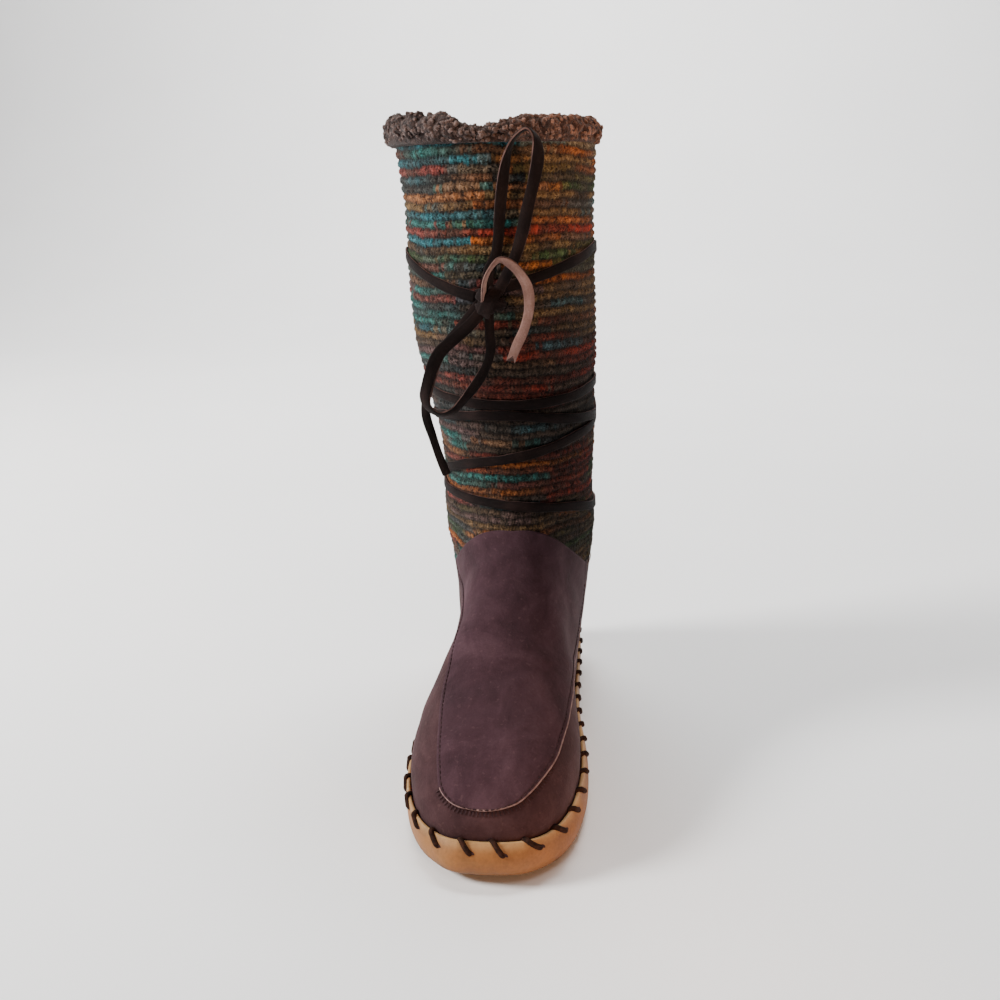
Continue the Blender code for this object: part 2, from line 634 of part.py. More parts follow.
def make_cord(name, route, collection, material):
    """Free cord: a tube on a smooth curve through the route's points."""
    count = min(72, 2 * len(route) + 4)
    points = smooth_rows(on_shaft(route), np.linspace(0, len(route) - 1, count))
    curve = bpy.data.curves.new(name, "CURVE")
    curve.dimensions = "3D"
    curve.bevel_depth = CORD_RADIUS * MM
    curve.bevel_resolution = 2
    curve.use_fill_caps = True
    spline = curve.splines.new("POLY")
    spline.points.add(count - 1)
    for target, point in zip(spline.points, points):
        target.co = (*(point * MM), 1.0)
    curve.materials.append(material)
    obj = bpy.data.objects.new(name, curve)
    collection.objects.link(obj)
    return obj


def make_knot(collection, material):
    bpy.ops.mesh.primitive_uv_sphere_add(segments=16, ring_count=10, radius=0.5)
    knot = bpy.context.object
    knot.name = "lace_knot"
    knot.scale = tuple(size * MM for size in KNOT_SIZE)
    bpy.ops.object.transform_apply(location=False, rotation=False, scale=True)
    knot.location = tuple(on_shaft(KNOT) * MM)
    knot.data.materials.append(material)
    knot.data.shade_smooth()
    for owner in list(knot.users_collection):
        owner.objects.unlink(knot)
    collection.objects.link(knot)
    return knot


def main():
    for obj in list(bpy.data.objects):
        bpy.data.objects.remove(obj, do_unlink=True)
    boot = make_collection("Mukluk boot")
    cutters = make_collection("Cutters")
    rubber = make_material("tan_rubber", (0.47, 0.26, 0.10), 0.55)
    suede = make_material("plum_suede", (0.085, 0.040, 0.045), 0.92)
    panel_suede = make_material("plum_suede_panel", (0.095, 0.045, 0.050), 0.92)
    knit = make_material("variegated_knit", (0.16, 0.12, 0.09), 0.95)
    fleece = make_material("brown_fleece", (0.10, 0.065, 0.055), 0.98)
    board = make_material("footbed_felt", (0.12, 0.08, 0.06), 0.95)
    lace = make_material("dark_suede_lace", (0.035, 0.018, 0.015), 0.85)

    below = floor_cutter(cutters)
    above = above_cutter("above_top_line", 0.0, cutters)
    knit_zone = above_cutter("knit_zone", CLEARANCE, cutters)

    make_outsole(boot, cutters, rubber)
    make_insole(boot, board)

    rows = np.concatenate([np.arange(0.0, 6.0), np.linspace(6.0, 10.0, 5), np.linspace(10.7, ANKLE_ROW + 0.5, 14)])
    upper = shell("upper", rows, SUEDE_STEP, SUEDE_WALL, boot, suede)
    cut(upper, below, "DIFFERENCE")
    cut(upper, above, "DIFFERENCE")

    rows = np.concatenate([np.linspace(13.2, 18.0, 6), np.linspace(18.7, 23.5, 9), np.linspace(24.2, TOP_ROW, 4)])
    shaft = shell("knit_shaft", rows, 0.0, KNIT_WALL, boot, knit)
    cut(shaft, knit_zone, "INTERSECT")

    make_panel(boot, panel_suede)
    make_cuff(boot, fleece)

    wraps = make_strap("lace_wraps", STRAP_A, boot, lace)
    second = as_cutter(make_strap("second_strap", STRAP_B, cutters))
    cut(wraps, second, "UNION")

    make_knot(boot, lace)
    make_cord("bow_loop_upper", UPPER_LOOP, boot, lace)
    make_cord("bow_loop_lower", LOWER_LOOP, boot, lace)
    make_cord("lace_end_right", END_RIGHT, boot, lace)
    make_cord("lace_end_left", END_LEFT, boot, lace)


main()
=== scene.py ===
"""Looks of a knit mukluk boot: suede foot, streaked purl-knit shaft, fleece cuff, cup sole and tied lace.

The boot's forms are worked out in mm from the same section rows as its solids, but for the panel's last two
rows. The meshes are written in metres. The toe points to -Y, the medial side is +X and the floor is at 0.
"""
import math

import bmesh
import bpy
import numpy as np
from mathutils import Matrix, Vector


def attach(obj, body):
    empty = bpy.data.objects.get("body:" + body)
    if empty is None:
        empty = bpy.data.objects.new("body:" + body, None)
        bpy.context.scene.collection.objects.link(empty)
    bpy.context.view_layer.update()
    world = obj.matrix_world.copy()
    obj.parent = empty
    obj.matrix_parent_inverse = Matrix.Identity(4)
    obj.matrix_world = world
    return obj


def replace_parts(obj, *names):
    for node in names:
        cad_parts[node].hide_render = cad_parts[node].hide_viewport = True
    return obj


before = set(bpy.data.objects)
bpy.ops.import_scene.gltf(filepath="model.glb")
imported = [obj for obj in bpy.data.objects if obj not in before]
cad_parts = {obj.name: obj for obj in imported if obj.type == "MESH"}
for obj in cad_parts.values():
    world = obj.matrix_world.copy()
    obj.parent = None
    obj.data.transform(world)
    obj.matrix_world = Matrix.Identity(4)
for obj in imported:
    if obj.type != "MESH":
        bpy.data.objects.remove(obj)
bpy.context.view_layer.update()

MM = 0.001

# Camera, as the photograph was taken, its place in mm
EYE = (52.99, -518.75, 317.5)
PITCH = math.radians(18.0)
AZIMUTH = math.radians(6.6)
ROLL = math.radians(1.0)
LENS = 35.28
SENSOR = 36.0

# Boot, lengths in mm
FOOT_LENGTH = 260.0
BALL_WIDTH = 88.0
INSTEP_HEIGHT = 130.0
COLLAR_HEIGHT = 336.7
SHAFT_WIDTH = 106.0
SHAFT_DEPTH = 130.0
SUEDE_WALL = 2.4
SUEDE_STEP = 0.6
KNIT_WALL = 3.0
PANEL_THICKNESS = 1.3
LIP_HEIGHT = 24.5
LIP_WIDTH = 8.6
LIP_LATERAL_WIDTH = 0.8
LIP_MEDIAL_WIDTH = 3.6
LIP_INNER_EDGE = 1.8
CUP_FLOOR = 12.0
TOE_SPRING = 3.4
GROOVE_WIDTH = 3.0
GROOVE_DEPTH = 2.0
GROOVE_PLACES = (-90.6, -72.6, -54.6, -36.6, -18.6, 73.0, 91.0, 109.0)
ARCH_MIDDLE = 36.4
ARCH_LENGTH = 44.0
ARCH_DEPTH = 2.4
CLEARANCE = 0.3
ROLL_HEIGHT = 12.6
ROLL_WIDTH = 12.2
ROLL_LEAN = 1.8
LACE_WIDTH = 5.5
LACE_THICKNESS = 1.5

# Shares of FOOT_LENGTH: the shaft's axis, the toe spring's start, and its end ahead of the middle
SHAFT_SETBACK = 0.235
SPRING_START = -0.30
SPRING_END = 0.52

# Stitches on the suede and the sole, lengths in mm
THREAD_RADIUS = 0.30
HEEL_THREAD_RADIUS = 0.28
TICK_RADIUS = 0.22
PANEL_STITCH_PITCH = 2.9
TICK_PITCH = 1.75
TICK_SHAPE = ((0.8, 0.0), (1.9, 0.15), (3.2, -0.2))
WHIP_PITCH = 15.4
WHIP_SLANT = -7.4
WHIP_DROP = 4.1
WHIP_RADIUS = 1.36
HOLE_RADIUS = 1.60
WHIP_SEED = 9

# Top-line stitches as shares of a half turn, and degrees of the heel's two seams off its middle
TOP_STITCH_FROM = 0.30
TOP_STITCH_PITCH = 0.012
TOP_STITCH_SHIFT = 0.0018
TOP_STITCH_LENGTH = 0.0066
HEEL_SEAMS = (-2.6, 2.6)

# Knit gauge
KNIT_PITCH = 4.35
KNIT_STITCHES = 168
KNIT_RELIEF = 1.15
KNIT_FOOT = 82.0
KNIT_TUCK = 2.2
KNIT_SEED = 41
SAMPLES_ROUND = 4
SAMPLES_UP = 5
COLUMNS = 32

# Purl bumps of a stitch: share across it, share of its height, then the half sizes of each bump
STITCH_BUMPS = ((0.0, 0.64), (1.0, 0.64), (0.5, 0.36))
BUMP_SIZE = (0.36, 0.21)

# Fleece
CUFF_SAMPLES = 640
FLEECE_LUMPS = 560
FLEECE_NUBS = 2300
LUMP_SIZES = (2.6, 5.0)
NUB_SIZES = (0.60, 1.50)
FLEECE_SEED = 17
NUB_SEED = 23

# Foot sections, y as shares of FOOT_LENGTH, z as height shares, sides of BALL_WIDTH:
# front_y, front_z, back_y, back_z, lateral, medial, waist, front_power, back_power
FOOT_ROWS = (
    (-0.503, 0.146, -0.503, 0.131, -0.090, 0.000, 0.50, 2.20, 2.60),
    (-0.499, 0.223, -0.499, 0.054, -0.190, 0.110, 0.58, 2.20, 2.60),
    (-0.490, 0.262, -0.490, 0.050, -0.258, 0.205, 0.56, 2.20, 2.60),
    (-0.474, 0.300, -0.474, 0.046, -0.322, 0.278, 0.53, 2.20, 2.80),
    (-0.453, 0.338, -0.453, 0.046, -0.380, 0.334, 0.49, 2.20, 3.00),
    (-0.425, 0.377, -0.425, 0.046, -0.430, 0.380, 0.45, 2.20, 3.20),
    (-0.391, 0.412, -0.391, 0.046, -0.472, 0.416, 0.42, 2.20, 3.40),
    (-0.351, 0.446, -0.351, 0.046, -0.504, 0.440, 0.39, 2.20, 3.40),
    (-0.305, 0.485, -0.305, 0.046, -0.524, 0.457, 0.36, 2.20, 3.40),
    (-0.253, 0.527, -0.253, 0.046, -0.532, 0.459, 0.34, 2.15, 3.40),
    (-0.194, 0.585, -0.194, 0.046, -0.525, 0.450, 0.32, 2.10, 3.40),
    (-0.130, 0.665, -0.127, 0.046, -0.486, 0.430, 0.30, 2.10, 3.40),
    (-0.065, 0.762, -0.046, 0.038, -0.432, 0.405, 0.30, 2.10, 3.20),
    (-0.019, 0.854, 0.058, 0.031, -0.412, 0.395, 0.32, 2.10, 3.00),
    (0.008, 0.931, 0.173, 0.023, -0.410, 0.405, 0.36, 2.10, 2.80),
    (0.021, 1.000, 0.300, 0.015, -0.434, 0.415, 0.40, 2.10, 2.60),
    (0.025, 1.039, 0.415, 0.015, -0.460, 0.432, 0.45, 2.10, 2.50),
    (0.027, 1.073, 0.488, 0.138, -0.490, 0.455, 0.50, 2.10, 2.40),
    (0.027, 1.106, 0.500, 0.369, -0.528, 0.488, 0.52, 2.10, 2.30),
    (0.027, 1.145, 0.481, 0.654, -0.535, 0.500, 0.52, 2.10, 2.20),
)

# Shaft sections, y as shares of SHAFT_DEPTH from the axis, z as height shares, sides of SHAFT_WIDTH:
# front_y, front_z, back_y, back_z, lateral, medial
SHAFT_ROWS = (
    (-0.423, 1.198, 0.462, 0.938, -0.440, 0.402),
    (-0.435, 1.271, 0.462, 1.135, -0.458, 0.411),
    (-0.454, 1.377, 0.477, 1.314, -0.514, 0.408),
    (-0.469, 1.508, 0.488, 1.484, -0.582, 0.413),
    (-0.485, 1.668, 0.500, 1.658, -0.601, 0.406),
    (-0.496, 1.851, 0.508, 1.847, -0.606, 0.394),
    (-0.500, 2.000, 0.508, 2.000, -0.645, 0.404),
)
SHAFT_POWER = 2.1

# The suede's top line: degrees from the front, share of INSTEP_HEIGHT
TOP_LINE = ((0, 0.905), (20, 0.870), (40, 0.760), (58, 0.680), (75, 0.655), (110, 0.655), (180, 0.662))

# The panel from the toe to its top: centre_row, lateral_row, lateral_angle, medial_row, medial_angle
PANEL_ROWS = (
    (2.11, 2.17, -12.0, 2.20, 8.5),
    (2.45, 2.50, -28.5, 2.48, 20.0),
    (2.95, 3.05, -38.5, 3.02, 31.5),
    (3.80, 3.90, -43.0, 3.95, 39.0),
    (4.90, 5.00, -40.5, 5.20, 45.5),
    (6.20, 6.30, -37.8, 6.50, 50.5),
    (7.60, 7.70, -36.6, 7.90, 53.0),
    (8.90, 9.10, -38.0, 9.30, 57.5),
    (10.10, 10.30, -38.5, 10.50, 63.5),
    (11.40, 11.80, -44.0, 11.90, 73.0),
    (12.70, 13.40, -55.0, 13.30, 83.0),
    (13.85, 15.00, -65.0, 15.30, 86.0),
    (14.75, 16.20, -68.0, 16.80, 80.0),
)
PANEL_BOW = 1.3

# The lip's height along the foot: share of FOOT_LENGTH, share of LIP_HEIGHT
LIP_LINE = (
    (-0.52, 0.72), (-0.46, 0.79), (-0.36, 0.92), (-0.22, 0.99), (0.0, 1.00), (0.25, 1.00), (0.52, 1.03),
)

# The sole's side wall: share of the lip's width outwards, share of LIP_HEIGHT tucked in, height share
WALL_ROWS = (
    (0.36, 0.20, 0.00), (0.80, 0.09, 0.07), (1.00, 0.02, 0.32),
    (0.93, 0.00, 0.62), (0.66, 0.00, 0.86), (0.36, 0.00, 1.00),
)

# The lip's top and inside: share of LIP_INNER_EDGE outwards, rise in mm
LIP_TOP = ((0.90, 0.30), (0.62, 0.42), (0.34, 0.36), (0.08, 0.02), (0.0, -0.40), (0.0, -2.4))

# The cuff's roll: degrees from the front to the medial side, height share, width share
ROLL_LINE = (
    (0, 0.50, 0.58), (8, 0.66, 0.72), (20, 0.86, 0.90), (45, 0.96, 1.00), (90, 1.00, 1.00),
    (180, 1.00, 1.05), (270, 1.12, 1.05), (315, 1.16, 1.02), (340, 1.08, 0.95), (352, 0.72, 0.75),
    (360, 0.50, 0.58),
)

# Lace passes: column of COLUMNS round the shaft (0 front, 8 medial), height share (1 instep, 2 collar)
STRAP_A = (
    (16, 0.960), (12, 0.955), (8, 0.985), (4, 1.035), (0, 1.060), (-4, 1.070), (-8, 1.080), (-12, 1.125),
    (-16, 1.170), (-20, 1.220), (-24, 1.262), (-28, 1.292), (-32, 1.318), (-36, 1.300), (-40, 1.272),
    (-44, 1.285), (-48, 1.310), (-52, 1.336), (-56, 1.362), (-60, 1.352), (-64, 1.346), (-68, 1.358),
    (-72, 1.385), (-76, 1.460), (-80, 1.550), (-84, 1.650), (-88, 1.735), (-91, 1.712), (-94, 1.672),
    (-96.6, 1.636),
)
STRAP_B = (
    (-16, 0.975), (-12, 1.030), (-8, 1.086), (-4, 1.150), (-2, 1.178), (0, 1.196), (4, 1.235), (8, 1.262),
    (12, 1.360), (16, 1.480), (20, 1.620), (24, 1.722), (27, 1.702), (29.5, 1.658), (31.4, 1.628),
)

# Tied lace: x as a share of SHAFT_WIDTH, y of SHAFT_DEPTH from the shaft's axis, height share, and for a
# cord the turn of its flat side in degrees, 0 facing out from the shaft
KNOT = (-0.091, -0.528, 1.620)
KNOT_SIZE = (16.0, 12.0, 16.0)

# Bands of the knot: tilt in degrees, push in mm, width in mm, reach as a share, lift in mm
KNOT_BANDS = ((62.0, 0.0, 7.2, 0.98, 0.5), (-28.0, 1.2, 5.4, 0.94, 0.0), (12.0, -1.6, 5.0, 0.92, -0.4))

UPPER_LOOP = (
    (-0.094, -0.532, 1.640, 10), (-0.091, -0.548, 1.694, 5), (-0.049, -0.547, 1.747, 0),
    (-0.027, -0.547, 1.865, 12), (-0.004, -0.550, 1.945, 38), (0.023, -0.567, 1.989, 72),
    (0.064, -0.585, 2.014, 88), (0.106, -0.593, 2.023, 96), (0.142, -0.588, 2.003, 122),
    (0.151, -0.570, 1.961, 155), (0.130, -0.562, 1.905, 176), (0.102, -0.562, 1.848, 184),
    (0.072, -0.562, 1.783, 188), (0.030, -0.558, 1.721, 184), (-0.062, -0.534, 1.634, 180),
)
LOWER_LOOP = (
    (-0.120, -0.534, 1.606, 0), (-0.185, -0.558, 1.567, 6), (-0.260, -0.570, 1.534, 0),
    (-0.336, -0.578, 1.499, -6), (-0.379, -0.578, 1.459, -6), (-0.409, -0.570, 1.414, 10),
    (-0.425, -0.562, 1.379, 30), (-0.408, -0.555, 1.351, 52), (-0.354, -0.547, 1.334, 64),
    (-0.289, -0.542, 1.342, 56), (-0.242, -0.538, 1.365, 40), (-0.201, -0.535, 1.390, 24),
    (-0.148, -0.532, 1.427, 10), (-0.106, -0.532, 1.469, 0), (-0.090, -0.533, 1.507, 0),
    (-0.093, -0.538, 1.538, 0), (-0.096, -0.532, 1.596, 0),
)
END_RIGHT = (
    (-0.118, -0.550, 1.620, 70), (-0.105, -0.595, 1.672, 78), (-0.070, -0.608, 1.708, 80),
    (-0.025, -0.612, 1.727, 66), (0.030, -0.610, 1.714, 40), (0.075, -0.601, 1.687, 22),
    (0.103, -0.585, 1.653, 10), (0.104, -0.562, 1.603, 4), (0.077, -0.547, 1.552, 0),
    (0.041, -0.533, 1.513, 0), (0.014, -0.525, 1.479, 0),
)
END_LEFT = (
    (-0.135, -0.528, 1.622, 0), (-0.233, -0.525, 1.560, 10), (-0.311, -0.527, 1.516, 20),
    (-0.374, -0.521, 1.457, 30), (-0.417, -0.508, 1.392, 30), (-0.438, -0.501, 1.351, 20),
    (-0.436, -0.493, 1.314, 10), (-0.414, -0.478, 1.266, 0), (-0.386, -0.458, 1.206, 0),
    (-0.353, -0.439, 1.151, 0),
)

# Cross-sections of a flat lace and of the knot's bands: share of the width, share of half the thickness
LACE_SHAPE = (
    (-0.50, -0.55), (-0.40, -1.0), (0.0, -1.05), (0.40, -1.0), (0.50, -0.55),
    (0.50, 0.55), (0.40, 1.0), (0.0, 0.92), (-0.40, 1.0), (-0.50, 0.55),
)
BAND_SHAPE = (
    (-0.5, -0.6), (-0.38, -1.0), (0.0, -1.0), (0.38, -1.0), (0.5, -0.6), (0.5, 0.5),
    (0.36, 1.0), (0.12, 0.72), (-0.12, 1.05), (-0.38, 0.95), (-0.5, 0.5),
)

# Soft folds of the suede: row, angle, width in rows, width in degrees, height in mm before FOLD_SHARE
FOLDS = (
    (12.2, -20, 0.5, 30, -1.1), (13.0, 10, 0.45, 34, 0.9), (13.9, -12, 0.45, 40, -0.9),
    (11.2, 25, 0.6, 22, -0.9), (10.2, 12, 0.7, 26, 0.5), (9.0, -18, 0.9, 20, -0.5),
    (7.2, 8, 1.0, 22, 0.5), (5.2, -10, 0.8, 18, -0.4), (12.6, 62, 0.9, 12, -1.2),
    (12.4, -58, 0.9, 12, -0.9),
)
FOLD_SHARE = 0.60


def linked(name, data):
    """An object of this data, put into the scene."""
    obj = bpy.data.objects.new(name, data)
    bpy.context.scene.collection.objects.link(obj)
    return obj


def place_camera():
    """Camera at the photograph's place, turned by its azimuth, pitch and roll."""
    reach = math.cos(PITCH)
    forward = Vector((-math.sin(AZIMUTH) * reach, math.cos(AZIMUTH) * reach, -math.sin(PITCH)))
    level = Vector((math.cos(AZIMUTH), math.sin(AZIMUTH), 0.0))
    over = level.cross(forward)
    right = level * math.cos(ROLL) - over * math.sin(ROLL)
    up = level * math.sin(ROLL) + over * math.cos(ROLL)
    data = bpy.data.cameras.new("photo_view")
    data.sensor_fit = "HORIZONTAL"
    data.sensor_width = SENSOR
    data.lens = LENS
    data.clip_start = 0.01
    data.clip_end = 50.0
    camera = linked("photo_view", data)
    turn = Matrix((right, up, -forward)).transposed().to_4x4()
    camera.matrix_world = Matrix.Translation(Vector(EYE) * MM) @ turn
    bpy.context.scene.camera = camera


place_camera()


# The boot's form

def unit(vectors):
    """Directions of vectors, each of length 1."""
    return vectors / np.maximum(np.linalg.norm(vectors, axis=-1, keepdims=True), 1e-9)


def smooth_rows(table, at):
    """Rows of a table between its own rows, on a smooth curve through them."""
    table = np.asarray(table, float)
    last = len(table) - 1
    at = np.clip(np.asarray(at, float), 0.0, last)
    low = np.clip(at.astype(int), 0, last - 1)
    part = (at - low)[..., None]
    ends = np.vstack([2 * table[0] - table[1], table, 2 * table[-1] - table[-2]])
    a, b, c, d = ends[low], ends[low + 1], ends[low + 2], ends[low + 3]
    bend = (2 * a - 5 * b + 4 * c - d) * part + (3 * b - a - 3 * c + d) * part * part
    return 0.5 * (2 * b + (c - a) * part + bend * part)


def storey(share):
    """Height in mm of a share: 1 at the instep, 2 at the collar."""
    share = np.asarray(share, float)
    shaft = INSTEP_HEIGHT + (share - 1.0) * (COLLAR_HEIGHT - INSTEP_HEIGHT)
    return np.where(share <= 1.0, share * INSTEP_HEIGHT, shaft)


def section_table():
    """All sections in mm, from the toe over the instep and up the shaft."""
    rows = []
    for fy, fz, by, bz, lateral, medial, waist, front, back in FOOT_ROWS:
        rows.append((fy * FOOT_LENGTH, storey(fz), by * FOOT_LENGTH, storey(bz), lateral * BALL_WIDTH,
                     medial * BALL_WIDTH, waist, front, back))
    axis = SHAFT_SETBACK * FOOT_LENGTH
    for fy, fz, by, bz, lateral, medial in SHAFT_ROWS:
        rows.append((axis + fy * SHAFT_DEPTH, storey(fz), axis + by * SHAFT_DEPTH, storey(bz),
                     lateral * SHAFT_WIDTH, medial * SHAFT_WIDTH, 0.5, SHAFT_POWER, SHAFT_POWER))
    return np.array(rows, float)


def on_shaft(points):
    """Places in mm of points given as shares of the shaft's sizes."""
    points = np.asarray(points, float)
    x = points[..., 0] * SHAFT_WIDTH
    y = SHAFT_SETBACK * FOOT_LENGTH + points[..., 1] * SHAFT_DEPTH
    return np.stack([x, y, storey(points[..., 2])], -1)


SECTIONS = section_table()
TOP_ROW = len(SECTIONS) - 1


def base_point(row, angle):
    """Point of the form at a section row and an angle: 0 front or top, 90 medial, 180 back or sole."""
    row, angle = np.broadcast_arrays(np.asarray(row, float), np.radians(np.asarray(angle, float)))
    s = smooth_rows(SECTIONS, row)
    fy, fz, by, bz, lateral, medial, waist, front, back = np.moveaxis(s, -1, 0)
    cosine, sine = np.cos(angle), np.sin(angle)
    power = np.where(cosine >= 0, front, back)
    reach = np.where(cosine >= 0, 1.0 - waist, waist) * np.sign(cosine) * np.abs(cosine) ** (2.0 / power)
    x = (lateral + medial) / 2 + (medial - lateral) / 2 * np.sign(sine) * np.abs(sine) ** (2.0 / power)
    y = by + (waist + reach) * (fy - by)
    z = bz + (waist + reach) * (fz - bz)
    return np.stack([x, y, z], -1)


def form_point(row, angle, out=0.0):
    """Point of the form moved outwards by a distance in mm, and its outward direction."""
    row, angle = np.broadcast_arrays(np.asarray(row, float), np.asarray(angle, float))
    point = base_point(row, angle)
    low = np.clip(row - 0.04, 0.0, TOP_ROW)
    high = np.clip(row + 0.04, 0.0, TOP_ROW)
    along = base_point(high, angle) - base_point(low, angle)
    across = base_point(row, angle + 1.5) - base_point(row, angle - 1.5)
    normal = np.cross(across, along)
    size = np.linalg.norm(normal, axis=-1, keepdims=True)
    normal = np.where(size > 1e-6, normal / np.maximum(size, 1e-6), np.array([0.0, -1.0, 0.0]))
    return point + normal * np.asarray(out, float)[..., None], normal


def spring(y):
    """Rise of the sole towards the toe."""
    start = SPRING_START * FOOT_LENGTH
    share = np.clip((start - np.asarray(y, float)) / (SPRING_END * FOOT_LENGTH + start), 0.0, 1.3)
    return TOE_SPRING * share ** 2


def lip_height(y):
    """Height of the lip over the spring of the sole."""
    table = np.array(LIP_LINE)
    return LIP_HEIGHT * np.interp(np.asarray(y, float) / FOOT_LENGTH, table[:, 0], table[:, 1])


def top_line(degrees):
    """Height of the suede's top line at directions round the shaft, its corners rounded."""
    table = np.array(TOP_LINE, float)
    turned = np.abs((np.asarray(degrees, float) + 180.0) % 360.0 - 180.0)
    blurred = 0.0
    for step, weight in ((-9.0, 0.25), (0.0, 0.5), (9.0, 0.25)):
        blurred = blurred + weight * np.interp(np.abs(turned + step), table[:, 0], table[:, 1])
    return blurred * INSTEP_HEIGHT


def plan_degrees(points):
    """Direction of points round the shaft's axis, 0 at the front and 90 at the medial side."""
    axis = SHAFT_SETBACK * FOOT_LENGTH
    return np.degrees(np.arctan2(points[..., 0], axis - points[..., 1]))


def crossing(line, i, level):
    """Where a line passes a height between its point i and the next."""
    return line[i] + (line[i + 1] - line[i]) * ((level - line[i, 2]) / (line[i + 1, 2] - line[i, 2]))


def level_outline(level, places):
    """The form's widest outline up to a height, at given places along the foot: lateral and medial x."""
    rows = np.linspace(0.0, 18.5, 371)
    sides = []
    for sign in (-1.0, 1.0):
        angles = np.linspace(0.0, 180.0, 181) * sign
        found = []
        for line in base_point(rows[:, None], angles[None, :]):
            below = np.flatnonzero((line[:-1, 2] >= level) & (line[1:, 2] < level))
            if len(below) == 0:
                continue
            point = crossing(line, below[0], level)
            under = line[below[0] + 1:]
            widest = under[np.argmax(sign * under[:, 0])]
            found.append(widest if sign * widest[0] > sign * point[0] else point)
        sides.append(np.array(found))
    toe = base_point(0.0, 0.0)
    line = base_point(rows, 180.0)
    if level < SECTIONS[0, 1]:
        toe = crossing(line, np.flatnonzero((line[:-1, 2] >= level) & (line[1:, 2] < level))[0], level)
    heel = crossing(line, np.flatnonzero((line[:-1, 2] < level) & (line[1:, 2] >= level))[-1], level)
    ys = toe[1] + (heel[1] - toe[1]) * places
    halves = []
    for side in sides:
        side = np.vstack([toe, side[(side[:, 1] > toe[1]) & (side[:, 1] < heel[1])], heel])
        side = side[np.argsort(side[:, 1])]
        halves.append(np.interp(ys, side[:, 1], side[:, 0]))
    return np.vstack([np.stack([halves[0], ys], -1), np.stack([halves[1], ys], -1)[1:-1][::-1]])


def eased(values, times):
    """Values drawn towards their neighbours, the two ends kept."""
    for _ in range(times):
        values[1:-1] = (values[:-2] + 2 * values[1:-1] + values[2:]) / 4
    return values


def soften(ring, times):
    """Values round a closed ring drawn towards their neighbours."""
    for _ in range(times):
        ring = 0.25 * np.roll(ring, 1, axis=0) + 0.5 * ring + 0.25 * np.roll(ring, -1, axis=0)
    return ring


def ring_normals(ring):
    """Outward directions of a flat closed ring."""
    along = unit(np.roll(ring, -1, axis=0) - np.roll(ring, 1, axis=0))
    normal = np.stack([along[:, 1], -along[:, 0]], -1)
    if np.sum(normal * (ring - ring.mean(axis=0))) < 0:
        normal = -normal
    return normal


def grown(ring, distance):
    """A flat ring moved outwards."""
    return ring + ring_normals(ring) * np.broadcast_to(distance, len(ring))[:, None]


def lip_width(ring):
    """Width of the lip round its ring: widest at the toe, narrow on the lateral side."""
    facing = ring_normals(ring)
    toe = np.clip(-facing[:, 1], 0.0, 1.0) ** 6
    front = np.clip(0.5 - ring[:, 1] / (0.3 * FOOT_LENGTH), 0.0, 1.0)
    side = LIP_LATERAL_WIDTH + (LIP_MEDIAL_WIDTH - LIP_LATERAL_WIDTH) * front * (0.5 + 0.5 * facing[:, 0])
    return side + (LIP_WIDTH - side) * toe


# Soft unevenness, the same on every run

def soft_noise(points, scale, seed):
    """Smooth unevenness from -1 to 1 from a few crossed waves, scale in mm."""
    rng = np.random.default_rng(seed)
    total = np.zeros(points.shape[:-1])
    for _ in range(7):
        direction = unit(rng.normal(size=3))
        wave = 2 * math.pi / (scale * rng.uniform(0.6, 1.7))
        bend = unit(rng.normal(size=3))
        shift = np.sin(points @ bend * wave * 0.6 + rng.uniform(0, 6.3)) * 1.3
        total += np.sin(points @ direction * wave + rng.uniform(0, 6.3) + shift)
    return total / 4.2


def bump_at(u, v, centre_u, centre_v, wide_u, wide_v):
    """A soft round bump from 0 to 1."""
    return np.exp(-((u - centre_u) / wide_u) ** 2 - ((v - centre_v) / wide_v) ** 2)


# Mesh helpers

def new_mesh(name, points, edges, faces):
    """Mesh of points given in mm."""
    mesh = bpy.data.meshes.new(name)
    mesh.from_pydata((np.asarray(points).reshape(-1, 3) * MM).tolist(), edges, faces)
    return mesh


def mesh_object(name, points, faces, materials, face_slots=None, corner_uv=None, colours=None):
    mesh = new_mesh(name, points, [], faces)
    for material in materials:
        mesh.materials.append(material)
    if face_slots is not None:
        mesh.polygons.foreach_set("material_index", np.asarray(face_slots, dtype=np.int32))
    if corner_uv is not None:
        layer = mesh.uv_layers.new(name="UVMap")
        layer.data.foreach_set("uv", np.asarray(corner_uv, dtype=np.float32).ravel())
    if colours is not None:
        # Per-point colour; on the knit and the sole it also holds painted shade and a painted highlight.
        layer = mesh.color_attributes.new("tint", "FLOAT_COLOR", "POINT")
        layer.data.foreach_set("color", np.asarray(colours, dtype=np.float32).ravel())
    mesh.shade_smooth()
    mesh.update()
    return linked(name, mesh)


